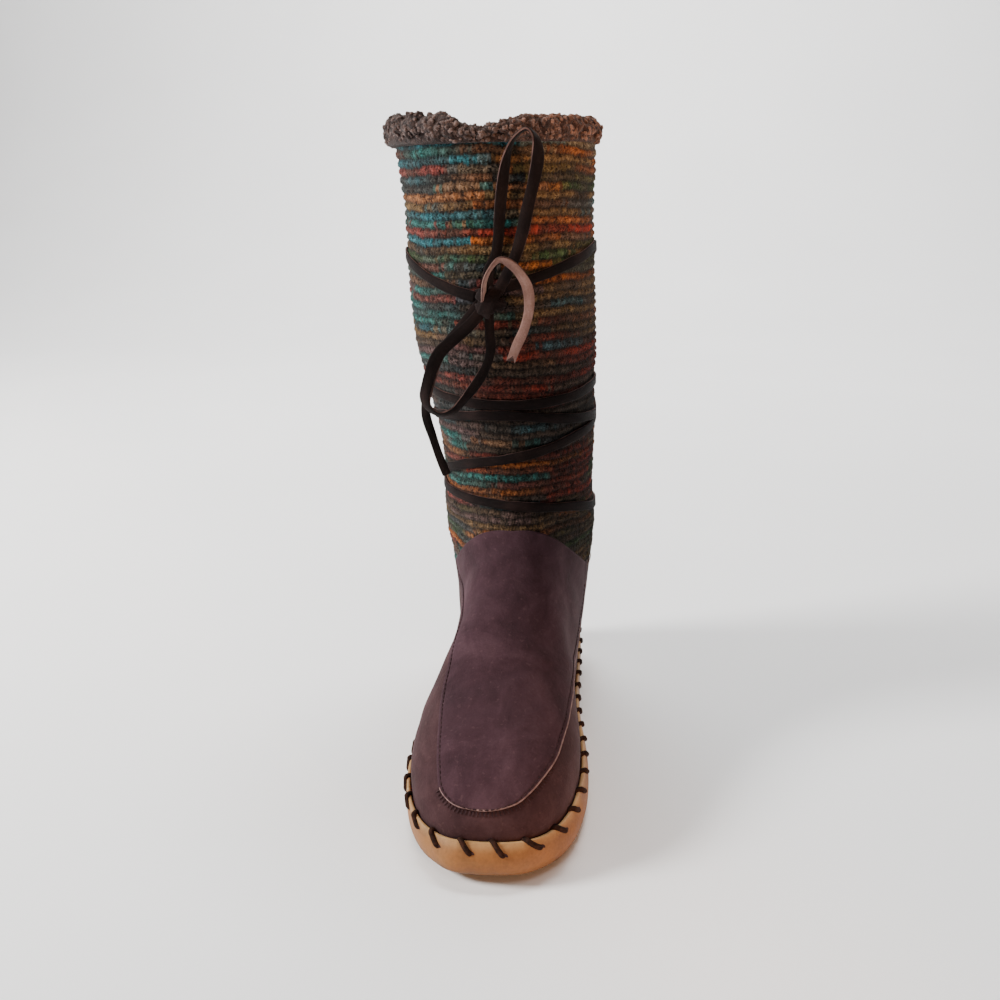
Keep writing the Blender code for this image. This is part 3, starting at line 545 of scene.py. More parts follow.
def ring_body(name, rings, materials, row_slots=None, uv_scale=None, colours=None, caps=False):
    """Closed body from rings of points. Without caps the last ring joins the first."""
    rings = np.asarray(rings, float)
    n, m, _ = rings.shape
    row = np.arange(n if not caps else n - 1)
    after = (row + 1) % n
    col = np.arange(m)
    beside = (col + 1) % m
    a = row[:, None] * m + col[None, :]
    b = row[:, None] * m + beside[None, :]
    c = after[:, None] * m + beside[None, :]
    d = after[:, None] * m + col[None, :]
    faces = np.stack([a, b, c, d], -1).reshape(-1, 4).tolist()
    slots = np.zeros(len(faces), dtype=np.int32)
    if row_slots is not None:
        slots = np.repeat(np.asarray(row_slots, dtype=np.int32)[: len(row)], m)
    uv = None
    if uv_scale is not None:
        u0, u1 = col * uv_scale[0], (col + 1) * uv_scale[0]
        v0, v1 = row * uv_scale[1], (row + 1) * uv_scale[1]
        uv = np.zeros((len(row), m, 4, 2))
        uv[..., 0, 0], uv[..., 1, 0], uv[..., 2, 0], uv[..., 3, 0] = u0, u1, u1, u0
        uv[..., 0, 1], uv[..., 1, 1] = v0[:, None], v0[:, None]
        uv[..., 2, 1], uv[..., 3, 1] = v1[:, None], v1[:, None]
    if caps:
        faces.append(list(range(m))[::-1])
        faces.append(list(range((n - 1) * m, n * m)))
        slots = np.append(slots, [0, 0])
        if uv is not None:
            uv = np.vstack([uv.reshape(-1, 2), np.zeros((2 * m, 2))])
    return mesh_object(name, rings, faces, materials, slots, uv, colours)


def two_sided_body(name, outer, inner, materials):
    """Closed body from an outer and an inner grid of one size, its rim in the second material."""
    n, m, _ = outer.shape
    index = np.arange(n * m).reshape(n, m)
    top = np.stack([index[:-1, :-1], index[:-1, 1:], index[1:, 1:], index[1:, :-1]], -1).reshape(-1, 4)
    under = top[:, ::-1] + n * m
    edge = np.concatenate([index[0, :], index[1:, -1], index[-1, :-1][::-1], index[1:-1, 0][::-1]])
    after = np.roll(edge, -1)
    rim = np.stack([edge, edge + n * m, after + n * m, after], -1)
    faces = np.vstack([top, under, rim]).tolist()
    slots = np.concatenate([np.zeros(len(top) * 2), np.ones(len(rim))])
    points = np.concatenate([outer.reshape(-1, 3), inner.reshape(-1, 3)])
    return mesh_object(name, points, faces, materials, slots)


# Materials

BLACK = (0, 0, 0)
WHITE = (1, 1, 1)


def grey(value):
    return (value, value, value)


def new_material(name):
    material = bpy.data.materials.new(name)
    material.use_nodes = True
    tree = material.node_tree
    return material, tree, tree.nodes["Principled BSDF"]


def make_node(tree, kind, inputs=None, **settings):
    node = tree.nodes.new(kind)
    for key, value in settings.items():
        setattr(node, key, value)
    for key, value in (inputs or {}).items():
        if isinstance(value, bpy.types.NodeSocket):
            tree.links.new(value, node.inputs[key])
        else:
            node.inputs[key].default_value = value
    return node


def noise_of(tree, scale, detail, roughness, stretch=(1, 1, 1), coordinate="Object", distortion=0.0):
    """Noise in the piece's own coordinates, scale per metre, or per mm on its UV map."""
    place = make_node(tree, "ShaderNodeTexCoord")
    mapping = make_node(tree, "ShaderNodeMapping", {"Vector": place.outputs[coordinate], "Scale": stretch})
    return make_node(tree, "ShaderNodeTexNoise", {
        "Vector": mapping.outputs["Vector"], "Scale": scale, "Detail": detail, "Roughness": roughness,
        "Distortion": distortion}).outputs["Fac"]


def ramp_of(tree, value, stops):
    node = make_node(tree, "ShaderNodeValToRGB", {"Fac": value})
    ramp = node.color_ramp
    while len(ramp.elements) > 1:
        ramp.elements.remove(ramp.elements[-1])
    ramp.elements[0].position = stops[0][0]
    ramp.elements[0].color = (*stops[0][1], 1.0)
    for position, colour in stops[1:]:
        element = ramp.elements.new(position)
        element.color = (*colour, 1.0)
    return node.outputs["Color"]


def mask_of(tree, value, start, end):
    """0 up to one value, 1 from another, blended between."""
    return ramp_of(tree, value, ((start, BLACK), (end, WHITE)))


def mixed(tree, factor, first, second, blend="MIX"):
    node = make_node(tree, "ShaderNodeMix", data_type="RGBA", blend_type=blend)
    for key, value in ((0, factor), (6, first), (7, second)):
        if isinstance(value, bpy.types.NodeSocket):
            tree.links.new(value, node.inputs[key])
        elif key == 0:
            node.inputs[key].default_value = value
        else:
            node.inputs[key].default_value = (*value, 1.0)
    return node.outputs[2]


def sum_of(tree, *parts):
    """Weighted sum of values, as (value, weight) pairs."""
    total = None
    for value, weight in parts:
        scaled = make_node(tree, "ShaderNodeMath", {0: value, 1: weight}, operation="MULTIPLY").outputs[0]
        if total is None:
            total = scaled
        else:
            total = make_node(tree, "ShaderNodeMath", {0: total, 1: scaled}, operation="ADD").outputs[0]
    return total


def dress(tree, shader, colour, roughness, specular, sheen=None):
    """Set a shader's colour, roughness and gloss, and its sheen as a weight and a roughness."""
    tree.links.new(colour, shader.inputs["Base Color"])
    shader.inputs["Roughness"].default_value = roughness
    shader.inputs["Specular IOR Level"].default_value = specular
    if sheen:
        shader.inputs["Sheen Weight"].default_value = sheen[0]
        shader.inputs["Sheen Roughness"].default_value = sheen[1]


def bumped(tree, shader, height, strength, distance):
    node = make_node(tree, "ShaderNodeBump", {"Height": height, "Strength": strength, "Distance": distance})
    tree.links.new(node.outputs["Normal"], shader.inputs["Normal"])


def suede_material(name, dark, base, light, scuff):
    """Brushed suede: cloudy nap, short streaks where it was stroked, pale scuffs, fine fibre bump."""
    material, tree, shader = new_material(name)
    cloud = noise_of(tree, 26.0, 5.0, 0.62, distortion=0.6)
    streak = noise_of(tree, 75.0, 4.0, 0.6, (1.0, 0.35, 1.0), distortion=1.2)
    fibre = noise_of(tree, 900.0, 3.0, 0.7)
    blend = sum_of(tree, (cloud, 0.62), (streak, 0.26), (fibre, 0.12))
    colour = ramp_of(tree, blend, ((0.32, dark), (0.50, base), (0.68, light)))
    rubbed = mask_of(tree, noise_of(tree, 48.0, 6.0, 0.7), 0.60, 0.76)
    speck = mask_of(tree, noise_of(tree, 420.0, 2.0, 0.5), 0.63, 0.72)
    colour = mixed(tree, sum_of(tree, (rubbed, 0.20)), colour, scuff)
    colour = mixed(tree, sum_of(tree, (speck, 0.16)), colour, scuff)
    dress(tree, shader, colour, 0.93, 0.10, (0.07, 0.45))
    shader.inputs["Sheen Tint"].default_value = (0.80, 0.60, 0.58, 1.0)
    height = sum_of(tree, (fibre, 0.5), (noise_of(tree, 320.0, 4.0, 0.6), 0.8), (streak, 0.5))
    bumped(tree, shader, height, 0.55, 0.0006)
    return material


def plain_material(name, dark, light, grain, roughness, specular, relief, strength, distance):
    """Two tones with a fine bump. Grain and relief are each a noise's scale, detail and roughness."""
    material, tree, shader = new_material(name)
    colour = ramp_of(tree, noise_of(tree, *grain), ((0.35, dark), (0.65, light)))
    dress(tree, shader, colour, roughness, specular)
    bumped(tree, shader, noise_of(tree, *relief), strength, distance)
    return material


def knit_material():
    """Wool-like yarn, its colour from the stitches' own tint, which holds painted shade, with fine fibre
    shading.
    """
    material, tree, shader = new_material("variegated_yarn")
    tint = make_node(tree, "ShaderNodeAttribute", attribute_name="tint").outputs["Color"]
    fibre = noise_of(tree, 1150.0, 4.0, 0.7)
    heather = noise_of(tree, 330.0, 3.0, 0.6)
    speck = noise_of(tree, 520.0, 2.0, 0.5, (1.0, 1.0, 1.3), distortion=1.2)
    strands = sum_of(tree, (fibre, 0.6), (heather, 0.4))
    shade = ramp_of(tree, strands, ((0.30, grey(0.5)), (0.68, grey(1.35))))
    colour = mixed(tree, 1.0, tint, shade, "MULTIPLY")
    pits = ramp_of(tree, speck, ((0.36, (0.22, 0.20, 0.19)), (0.50, WHITE), (0.66, grey(1.35))))
    colour = mixed(tree, 1.0, colour, pits, "MULTIPLY")
    dress(tree, shader, colour, 0.96, 0.06, (0.06, 0.6))
    bumped(tree, shader, sum_of(tree, (fibre, 0.7), (heather, 0.5), (speck, 1.2)), 0.7, 0.0009)
    return material


def fleece_material(name, dark, base, tip, scale, glow_colour=None):
    """Curly fleece: tufts pale at their tips and dark between as painted shade, and warmer towards the
    medial side as painted warm light.
    """
    material, tree, shader = new_material(name)
    tuft = noise_of(tree, scale, 4.0, 0.65, distortion=1.6)
    fine = noise_of(tree, scale * 4.0, 3.0, 0.6)
    blend = sum_of(tree, (tuft, 0.7), (fine, 0.3))
    colour = ramp_of(tree, blend, ((0.34, dark), (0.50, base), (0.70, tip)))
    # Painted warm light: towards the medial side the colour is multiplied by a warm tint.
    if glow_colour:
        where = make_node(tree, "ShaderNodeTexCoord").outputs["Object"]
        place = make_node(tree, "ShaderNodeSeparateXYZ", {0: where})
        patch = noise_of(tree, 55.0, 2.0, 0.5)
        side = sum_of(tree, (place.outputs["X"], 11.0), (patch, 0.9))
        amount = mask_of(tree, side, 0.25, 0.95)
        glowing = mixed(tree, 1.0, colour, glow_colour, "MULTIPLY")
        colour = mixed(tree, amount, colour, glowing)
    dress(tree, shader, colour, 0.97, 0.05, (0.10, 0.6))
    bumped(tree, shader, sum_of(tree, (tuft, 1.0), (fine, 0.5)), 0.8, 0.0016)
    return material


def rubber_material():
    """Tan cup sole: mottled and scuffed, coloured by its own tint: paler on top as a painted highlight,
    darker low down, and painted shade inside the cup.
    """
    material, tree, shader = new_material("tan_crepe_rubber")
    tint = make_node(tree, "ShaderNodeAttribute", attribute_name="tint").outputs["Color"]
    mottle = noise_of(tree, 38.0, 5.0, 0.6, distortion=0.5)
    grain = noise_of(tree, 620.0, 4.0, 0.65)
    blend = sum_of(tree, (mottle, 0.7), (grain, 0.3))
    stops = ((0.34, (0.60, 0.57, 0.52)), (0.52, (0.96, 0.95, 0.94)), (0.70, grey(1.16)))
    shade = ramp_of(tree, blend, stops)
    colour = mixed(tree, 1.0, tint, shade, "MULTIPLY")
    scratch = noise_of(tree, 90.0, 5.0, 0.7, (0.5, 0.5, 3.2))
    marks = mask_of(tree, scratch, 0.60, 0.72)
    colour = mixed(tree, sum_of(tree, (marks, 0.30)), colour, (0.16, 0.085, 0.035))
    dress(tree, shader, colour, 0.5, 0.35)
    rough = ramp_of(tree, mottle, ((0.3, grey(0.50)), (0.7, grey(0.72))))
    tree.links.new(rough, shader.inputs["Roughness"])
    shader.inputs["Subsurface Weight"].default_value = 0.04
    bumped(tree, shader, sum_of(tree, (grain, 0.6), (scratch, 0.6)), 0.35, 0.0005)
    return material


def lace_material(name, dark, base, light):
    """Flat suede lace, streaked along its length through its UV map."""
    material, tree, shader = new_material(name)
    streak = noise_of(tree, 1.0, 5.0, 0.65, (0.9, 0.05, 1.0), "UV")
    fibre = noise_of(tree, 1000.0, 3.0, 0.7)
    cloud = noise_of(tree, 60.0, 3.0, 0.5)
    blend = sum_of(tree, (streak, 0.35), (fibre, 0.2), (cloud, 0.45))
    colour = ramp_of(tree, blend, ((0.36, dark), (0.50, base), (0.66, light)))
    dress(tree, shader, colour, 0.85, 0.10, (0.03, 0.4))
    bumped(tree, shader, sum_of(tree, (fibre, 0.8), (streak, 0.6)), 0.5, 0.0005)
    return material


def felt_material():
    material, tree, shader = new_material("footbed_felt_pile")
    pile = noise_of(tree, 240.0, 5.0, 0.7)
    colour = ramp_of(tree, pile, ((0.35, (0.060, 0.040, 0.032)), (0.65, (0.16, 0.11, 0.085))))
    dress(tree, shader, colour, 0.96, 0.5, (0.3, 0.5))
    bumped(tree, shader, pile, 0.7, 0.001)
    return material


# Plain materials: grain, roughness, specular, relief, strength and distance of the bump
CUT_LEATHER = ((260.0, 4.0, 0.6), 0.9, 0.2, (700.0, 3.0, 0.6), 0.5, 0.0004)
WAXED = ((520.0, 3.0, 0.6), 0.8, 0.10, (1200.0, 2.0, 0.5), 0.4, 0.0003)

SUEDE = suede_material("plum_suede_nap", (0.019, 0.0090, 0.0100), (0.041, 0.019, 0.021),
                       (0.068, 0.034, 0.036), (0.125, 0.068, 0.062))
PANEL_SUEDE = suede_material("plum_panel_nap", (0.020, 0.0095, 0.0125), (0.042, 0.020, 0.026),
                             (0.070, 0.036, 0.045), (0.128, 0.070, 0.074))
CUT_EDGE = plain_material("plum_cut_edge", (0.135, 0.078, 0.074), (0.25, 0.160, 0.145), *CUT_LEATHER)
YARN = knit_material()
LINING = fleece_material("shaft_lining", (0.030, 0.021, 0.018), (0.085, 0.060, 0.050), (0.17, 0.125, 0.105),
                         240.0)
# The roll under the nubs: a far darker copy of the fleece colour, painted shade between the nubs.
FLEECE_SHADED = fleece_material("fleece_base", (0.004, 0.002, 0.002), (0.024, 0.014, 0.012), (0.10, 0.063, 0.053),
                         260.0, (1.8, 1.25, 0.90))
NUB = fleece_material("fleece_nubs", (0.012, 0.007, 0.006), (0.080, 0.052, 0.045), (0.25, 0.172, 0.152),
                      110.0, (1.75, 1.20, 0.85))
RUBBER = rubber_material()
LACE = lace_material("dark_lace", (0.0026, 0.0013, 0.0013), (0.0062, 0.0030, 0.0027),
                     (0.017, 0.0088, 0.0076))
LACE_EDGE = plain_material("lace_cut_edge", (0.040, 0.020, 0.017), (0.11, 0.060, 0.050), *CUT_LEATHER)
# A far lighter copy of the lace colour for the right end, painted as lit.
LACE_LIT = lace_material("lace_flesh_side", (0.10, 0.052, 0.042), (0.19, 0.105, 0.085),
                           (0.30, 0.185, 0.155))
THONG = plain_material("dark_whip_thong", (0.009, 0.0034, 0.0020), (0.034, 0.0125, 0.0070), *WAXED)
THREAD = plain_material("plum_thread", (0.018, 0.009, 0.010), (0.045, 0.024, 0.026), *WAXED)
SEAM = plain_material("seam_pinch", (0.026, 0.013, 0.015), (0.060, 0.033, 0.036), *WAXED)
PALE_THREAD = plain_material("tan_thread", (0.13, 0.075, 0.055), (0.24, 0.145, 0.11), *WAXED)
FELT = felt_material()


# Geometry Nodes: threads along short lines, and tufts over a surface

def apply_tree(obj, tree, values):
    """Run a tree on an object and return the result as a plain mesh object of the same name."""
    modifier = obj.modifiers.new(tree.name, "NODES")
    modifier.node_group = tree
    sockets = {item.name: item.identifier for item in tree.interface.items_tree if item.in_out == "INPUT"}
    for name, value in values.items():
        modifier[sockets[name]] = value
    bpy.context.view_layer.update()
    graph = bpy.context.evaluated_depsgraph_get()
    made = bpy.data.meshes.new_from_object(obj.evaluated_get(graph), depsgraph=graph)
    obj.modifiers.remove(modifier)
    old = obj.data
    obj.data = made
    made.name = obj.name
    if old.users == 0:
        bpy.data.meshes.remove(old)
    return obj


def new_tree(name, inputs):
    """A tree with a geometry in and out and further inputs by name and kind, and its input sockets."""
    tree = bpy.data.node_groups.new(name, "GeometryNodeTree")
    for label, kind in (("Geometry", "Geometry"),) + inputs:
        tree.interface.new_socket(label, in_out="INPUT", socket_type="NodeSocket" + kind)
    tree.interface.new_socket("Geometry", in_out="OUTPUT", socket_type="NodeSocketGeometry")
    return tree, make_node(tree, "NodeGroupInput").outputs


def end_tree(tree, geometry, material):
    painted = make_node(tree, "GeometryNodeSetMaterial", {"Geometry": geometry, "Material": material})
    end = make_node(tree, "NodeGroupOutput")
    tree.links.new(painted.outputs["Geometry"], end.inputs["Geometry"])
    return tree


def thread_tree(material):
    """Tubes along every line of the mesh, with closed ends."""
    tree, given = new_tree("threads " + material.name, (("Thread radius", "Float"), ("Sides", "Int")))
    line = make_node(tree, "GeometryNodeMeshToCurve", {"Mesh": given["Geometry"]})
    profile = make_node(tree, "GeometryNodeCurvePrimitiveCircle",
                        {"Resolution": given["Sides"], "Radius": given["Thread radius"]})
    tube = make_node(tree, "GeometryNodeCurveToMesh", {
        "Curve": line.outputs["Curve"], "Profile Curve": profile.outputs["Curve"], "Fill Caps": True})
    smooth = make_node(tree, "GeometryNodeSetShadeSmooth", {"Geometry": tube.outputs["Mesh"]})
    return end_tree(tree, smooth.outputs["Geometry"], material)


def threads(name, lines, radius, material, sides=8):
    """Short threads along lines of points in mm."""
    edges = []
    first = 0
    for line in lines:
        edges.extend([(first + i, first + i + 1) for i in range(len(line) - 1)])
        first += len(line)
    obj = linked(name, new_mesh(name, np.concatenate(lines), edges, []))
    return apply_tree(obj, thread_tree(material), {"Thread radius": radius * MM, "Sides": sides})


def tuft_tree(shape, material):
    """The shape on every point of the mesh, turned to the point's direction, with random spin and size."""
    inputs = (("Smallest", "Float"), ("Largest", "Float"), ("Seed", "Int"))
    tree, given = new_tree("tufts " + material.name, inputs)
    source = make_node(tree, "GeometryNodeObjectInfo", {"Object": shape})
    named = make_node(tree, "GeometryNodeInputNamedAttribute", {"Name": "facing"}, data_type="FLOAT_VECTOR")
    facing = named.outputs["Attribute"]
    align = make_node(tree, "FunctionNodeAlignRotationToVector", {"Vector": facing}, axis="Z")
    spin = make_node(tree, "FunctionNodeRandomValue", {"Seed": given["Seed"]}, data_type="FLOAT_VECTOR")
    spin.inputs["Min"].default_value = (-0.5, -0.5, 0.0)
    spin.inputs["Max"].default_value = (0.5, 0.5, 6.283)
    turned = make_node(tree, "FunctionNodeRotateRotation", {"Rotation": align.outputs["Rotation"]},
                       rotation_space="LOCAL")
    tree.links.new(spin.outputs["Value"], turned.inputs["Rotate By"])
    size = make_node(tree, "FunctionNodeRandomValue", {"Seed": given["Seed"]}, data_type="FLOAT")
    limits = [socket for socket in size.inputs if socket.type == "VALUE"]
    tree.links.new(given["Smallest"], limits[0])
    tree.links.new(given["Largest"], limits[1])
    amount = [socket for socket in size.outputs if socket.type == "VALUE"][0]
    placed = make_node(tree, "GeometryNodeInstanceOnPoints", {
        "Points": given["Geometry"], "Instance": source.outputs["Geometry"],
        "Rotation": turned.outputs["Rotation"], "Scale": amount})
    real = make_node(tree, "GeometryNodeRealizeInstances", {"Geometry": placed.outputs["Instances"]})
    return end_tree(tree, real.outputs["Geometry"], material)


def tufts(name, points, facing, shape, smallest, largest, seed, material):
    mesh = new_mesh(name, points, [], [])
    layer = mesh.attributes.new("facing", "FLOAT_VECTOR", "POINT")
    layer.data.foreach_set("vector", np.asarray(facing, dtype=np.float32).ravel())
    sizes = {"Smallest": smallest, "Largest": largest, "Seed": seed}
    return apply_tree(linked(name, mesh), tuft_tree(shape, material), sizes)


# Lace: the free loops and ends first

def frame_along(points, outward):
    """Directions of a flat lace along its line: across its width and through its thickness."""
    along = unit(np.gradient(points, axis=0))
    wide = unit(np.cross(outward, along))
    return wide, np.cross(along, wide)


def flat_lace(name, points, wide, thick, widths, material, notch=0.0):
    """A flat lace with rounded edges and closed ends. Its narrow edges and its ends show the cut."""
    half = LACE_THICKNESS / 2
    rings = []
    for p, w, t, width in zip(points, wide, thick, widths):
        rings.append([p + w * width * a + t * half * b for a, b in LACE_SHAPE])
    rings = np.array(rings)
    if notch > 0:
        along = unit(points[-1] - points[-3])
        for i, (a, _) in enumerate(LACE_SHAPE):
            rings[-1, i] += along * notch * (abs(a) * 2 - 0.4)
    count = len(LACE_SHAPE)
    body = ring_body(name, rings, (material, LACE_EDGE), None, (1.0 / count * LACE_WIDTH, 1.0), caps=True)
    slots = np.zeros(len(body.data.polygons), dtype=np.int32)
    for edge in (4, 9):
        slots[np.arange(len(rings) - 1) * count + edge] = 1
    slots[-2:] = 1
    body.data.polygons.foreach_set("material_index", slots)
    return body


def free_lace(name, route, material, replaced, widths, notch=0.0):
    """A free loop or end through its route's points."""
    table = np.array(route, float)
    count = 4 * len(table)
    at = np.linspace(0, len(table) - 1, count)
    smooth = smooth_rows(table, at)
    points = on_shaft(smooth[:, :3])
    rolls = np.radians(smooth[:, 3])[:, None]
    wide, thick = frame_along(points, np.tile(np.array([0.10, -1.0, 0.12]), (count, 1)))
    turned = wide * np.cos(rolls) + thick * np.sin(rolls)
    depth = thick * np.cos(rolls) - wide * np.sin(rolls)
    for i in range(1, count):
        if np.dot(turned[i], turned[i - 1]) < 0:
            turned[i] = -turned[i]
            depth[i] = -depth[i]
    sizes = np.interp(np.linspace(0, 1, count), *widths) * (1.0 + 0.05 * np.sin(at * 2.3))
    lace = flat_lace(name, points, turned, depth, sizes, material, notch)
    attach(lace, "root")
    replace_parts(lace, replaced)


free_lace("bow_loop_up", UPPER_LOOP, LACE, "bow_loop_upper",
          ((0.0, 0.2, 0.45, 0.6, 1.0), (5.2, 5.8, 5.2, 6.4, 5.8)))
free_lace("bow_loop_down", LOWER_LOOP, LACE, "bow_loop_lower",
          ((0.0, 0.12, 0.3, 0.5, 0.8, 1.0), (5.4, 6.6, 6.4, 5.6, 5.0, 5.2)))
free_lace("lace_end_pale", END_RIGHT, LACE_LIT, "lace_end_right",
          ((0.0, 0.5, 1.0), (5.2, 5.4, 5.0)), notch=4.0)
free_lace("lace_end_dark", END_LEFT, LACE, "lace_end_left", ((0.0, 0.5, 1.0), (5.0, 5.0, 4.6)))


# Wraps round the shaft

def strap_heights(table, columns):
    """Height in mm of a strap at columns, on a smooth curve through its own points."""
    table = np.array(table, float)
    step = 1 if table[-1, 0] > table[0, 0] else -1
    places = np.interp(columns, table[::step, 0], np.arange(len(table))[::step])
    return storey(smooth_rows(table, places)[:, 1])


def rows_at(heights, angles):
    """Rows of the form at given heights, one column of heights for each angle."""
    rows = np.linspace(11.0, TOP_ROW, 420)
    lines = base_point(rows[:, None], np.asarray(angles)[None, :])[..., 2]
    found = np.empty(heights.shape)
    for j in range(heights.shape[1]):
        line = lines[:, j]
        low = int(np.argmin(line))
        found[:, j] = np.interp(heights[:, j], line[low:], rows[low:])
    return found


def wrap_lace(name, table):
    """A pass of the lace lying on the shaft, through the points of its table."""
    first, last = table[0][0], table[-1][0]
    columns = np.append(np.arange(first, last, 0.2 if last > first else -0.2), last)
    angles = (columns * 360.0 / COLUMNS) % 360.0
    rows = rows_at(strap_heights(table, columns)[None, :], angles)[0]
    wave = 0.10 * np.sin(columns * 0.9) + 0.06 * np.sin(columns * 2.3 + 1.0)
    points, normals = form_point(rows, angles, 0.10 + LACE_THICKNESS / 2 + wave)
    wide, thick = frame_along(points, unit(eased(normals, 3)))
    widths = LACE_WIDTH * (1.0 + 0.05 * np.sin(columns * 1.7) + 0.03 * np.sin(columns * 4.1))
    lace = flat_lace(name, points, wide, thick, widths, LACE)
    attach(lace, "root")
    return lace


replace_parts(wrap_lace("wrap_first", STRAP_A), "lace_wraps")
wrap_lace("wrap_second", STRAP_B)


def make_knot():
    """Bow knot: a lump of lace with three bands wound over its middle."""
    centre = on_shaft(KNOT)
    size = np.array(KNOT_SIZE) / 2
    turns = np.linspace(0, 2 * math.pi, 49)[:-1]
    fold = 1.0 - 0.10 * np.abs(np.sin(turns * 2 + 0.7)) - 0.05 * np.sin(turns * 5)
    rings = []
    for lat in np.linspace(-math.pi / 2, math.pi / 2, 25)[1:-1]:
        x = np.cos(lat) * np.cos(turns) * fold * size[0] * 0.86
        y = np.full_like(turns, np.sin(lat)) * size[1] * 0.82
        z = np.cos(lat) * np.sin(turns) * fold * size[2] * 0.86
        rings.append(np.stack([x, y, z], -1) + centre)
    core = ring_body("knot_core", np.array(rings)[:, ::-1], (LACE,), None, (0.2, 0.3), caps=True)
    pieces = [core]
    turns = np.linspace(0, 2 * math.pi, 57)[:-1]
    half = LACE_THICKNESS / 2
    for k, (tilt, push, width, reach, lift) in enumerate(KNOT_BANDS):
        tilt = math.radians(tilt)
        side = np.array([math.cos(tilt), 0.0, math.sin(tilt)])
        up = np.array([-math.sin(tilt), 0.0, math.cos(tilt)])
        points = centre + np.outer(np.cos(turns) * size[0] * reach, side)
        points += np.outer(np.sin(turns) * (size[1] * 0.90 + lift * 0.6), (0.0, 1.0, 0.0)) + up * push
        outward = unit(points - centre - up * push)
        rings = []
        for p, o in zip(points, outward):
            rings.append([p + up * width * a + o * half * b for a, b in BAND_SHAPE])
        pieces.append(ring_body("knot_band_%d" % k, np.array(rings), (LACE,), None, (0.5, 1.0)))
    for piece in pieces:
        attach(piece, "root")
    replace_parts(core, "lace_knot")


make_knot()


# Knit shaft

TEAL = (0.026, 0.158, 0.142)
BLUE_TEAL = (0.028, 0.150, 0.178)
GREEN = (0.045, 0.098, 0.034)
OLIVE = (0.092, 0.082, 0.024)
TAN = (0.195, 0.112, 0.046)
CREAM = (0.300, 0.210, 0.115)
PEACH = (0.320, 0.130, 0.052)
ORANGE = (0.400, 0.108, 0.018)
RED = (0.350, 0.032, 0.014)
BRICK = (0.185, 0.028, 0.017)
PINK_RED = (0.240, 0.052, 0.042)
PINK_GREY = (0.130, 0.076, 0.074)
GREY_TAN = (0.092, 0.063, 0.045)
HEATHER = (0.048, 0.032, 0.023)
SLATE = (0.046, 0.060, 0.062)
PALETTE = (TEAL, GREEN, OLIVE, TAN, ORANGE, RED, BRICK, PINK_GREY, GREY_TAN, SLATE, BLUE_TEAL, PEACH)

# Yarn colours down the shaft: height in mm, on the lateral side of the front, and on its medial side
YARN_ROWS = (
    (336, BLUE_TEAL, CREAM), (331, TEAL, PEACH), (327, BLUE_TEAL, TAN), (324, PINK_RED, ORANGE),
    (320, SLATE, OLIVE), (316, TEAL, GREEN), (312, PEACH, TAN), (308, TAN, ORANGE), (304, TEAL, TEAL),
    (300, BLUE_TEAL, TAN), (296, TEAL, GREY_TAN), (291, PINK_RED, RED), (287, BLUE_TEAL, ORANGE),
    (283, TAN, OLIVE), (279, GREEN, TAN), (275, TEAL, GREEN), (270, TEAL, OLIVE), (266, SLATE, ORANGE),
    (262, PINK_GREY, TAN), (258, PINK_RED, TAN), (254, TEAL, GREY_TAN), (250, BLUE_TEAL, TAN),
    (245, TEAL, BRICK), (241, BLUE_TEAL, TAN), (236, TAN, GREY_TAN), (232, GREY_TAN, BRICK),
    (227, PINK_GREY, RED), (222, TEAL, BRICK), (218, SLATE, GREY_TAN), (213, PINK_RED, BRICK),
    (208, BRICK, RED), (204, GREY_TAN, BRICK), (199, SLATE, GREY_TAN), (195, BLUE_TEAL, HEATHER),
    (190, PINK_GREY, SLATE), (185, PINK_GREY, GREY_TAN), (180, TEAL, SLATE), (175, TEAL, GREY_TAN),
    (171, PEACH, BRICK), (167, PINK_RED, ORANGE), (162, GREY_TAN, RED), (157, TEAL, BRICK),
    (152, TEAL, GREEN), (147, ORANGE, RED), (143, PINK_RED, BRICK), (138, GREY_TAN, OLIVE),
    (133, PINK_GREY, GREY_TAN), (129, TAN, TAN), (124, SLATE, ORANGE), (120, GREEN, OLIVE),
    (115, SLATE, GREY_TAN), (110, ORANGE, GREEN), (105, TEAL, OLIVE), (100, GREY_TAN, TAN),
    (95, PINK_GREY, ORANGE), (90, TEAL, TAN), (85, SLATE, HEATHER),
)


def strap_press(heights, columns):
    """How near each place of the knit is to a lace, 1 right under it."""
    press = np.zeros((len(heights), len(columns)))
    for table in (STRAP_A, STRAP_B):
        first, last = sorted((table[0][0], table[-1][0]))
        for turn in range(-4, 4):
            there = columns + turn * COLUMNS
            inside = (there >= first) & (there <= last)
            if not inside.any():
                continue
            z = strap_heights(table, there[inside])
            near = np.exp(-((heights[:, None] - z[None, :]) / 4.2) ** 2)
            press[:, inside] = np.maximum(press[:, inside], near)
    return press


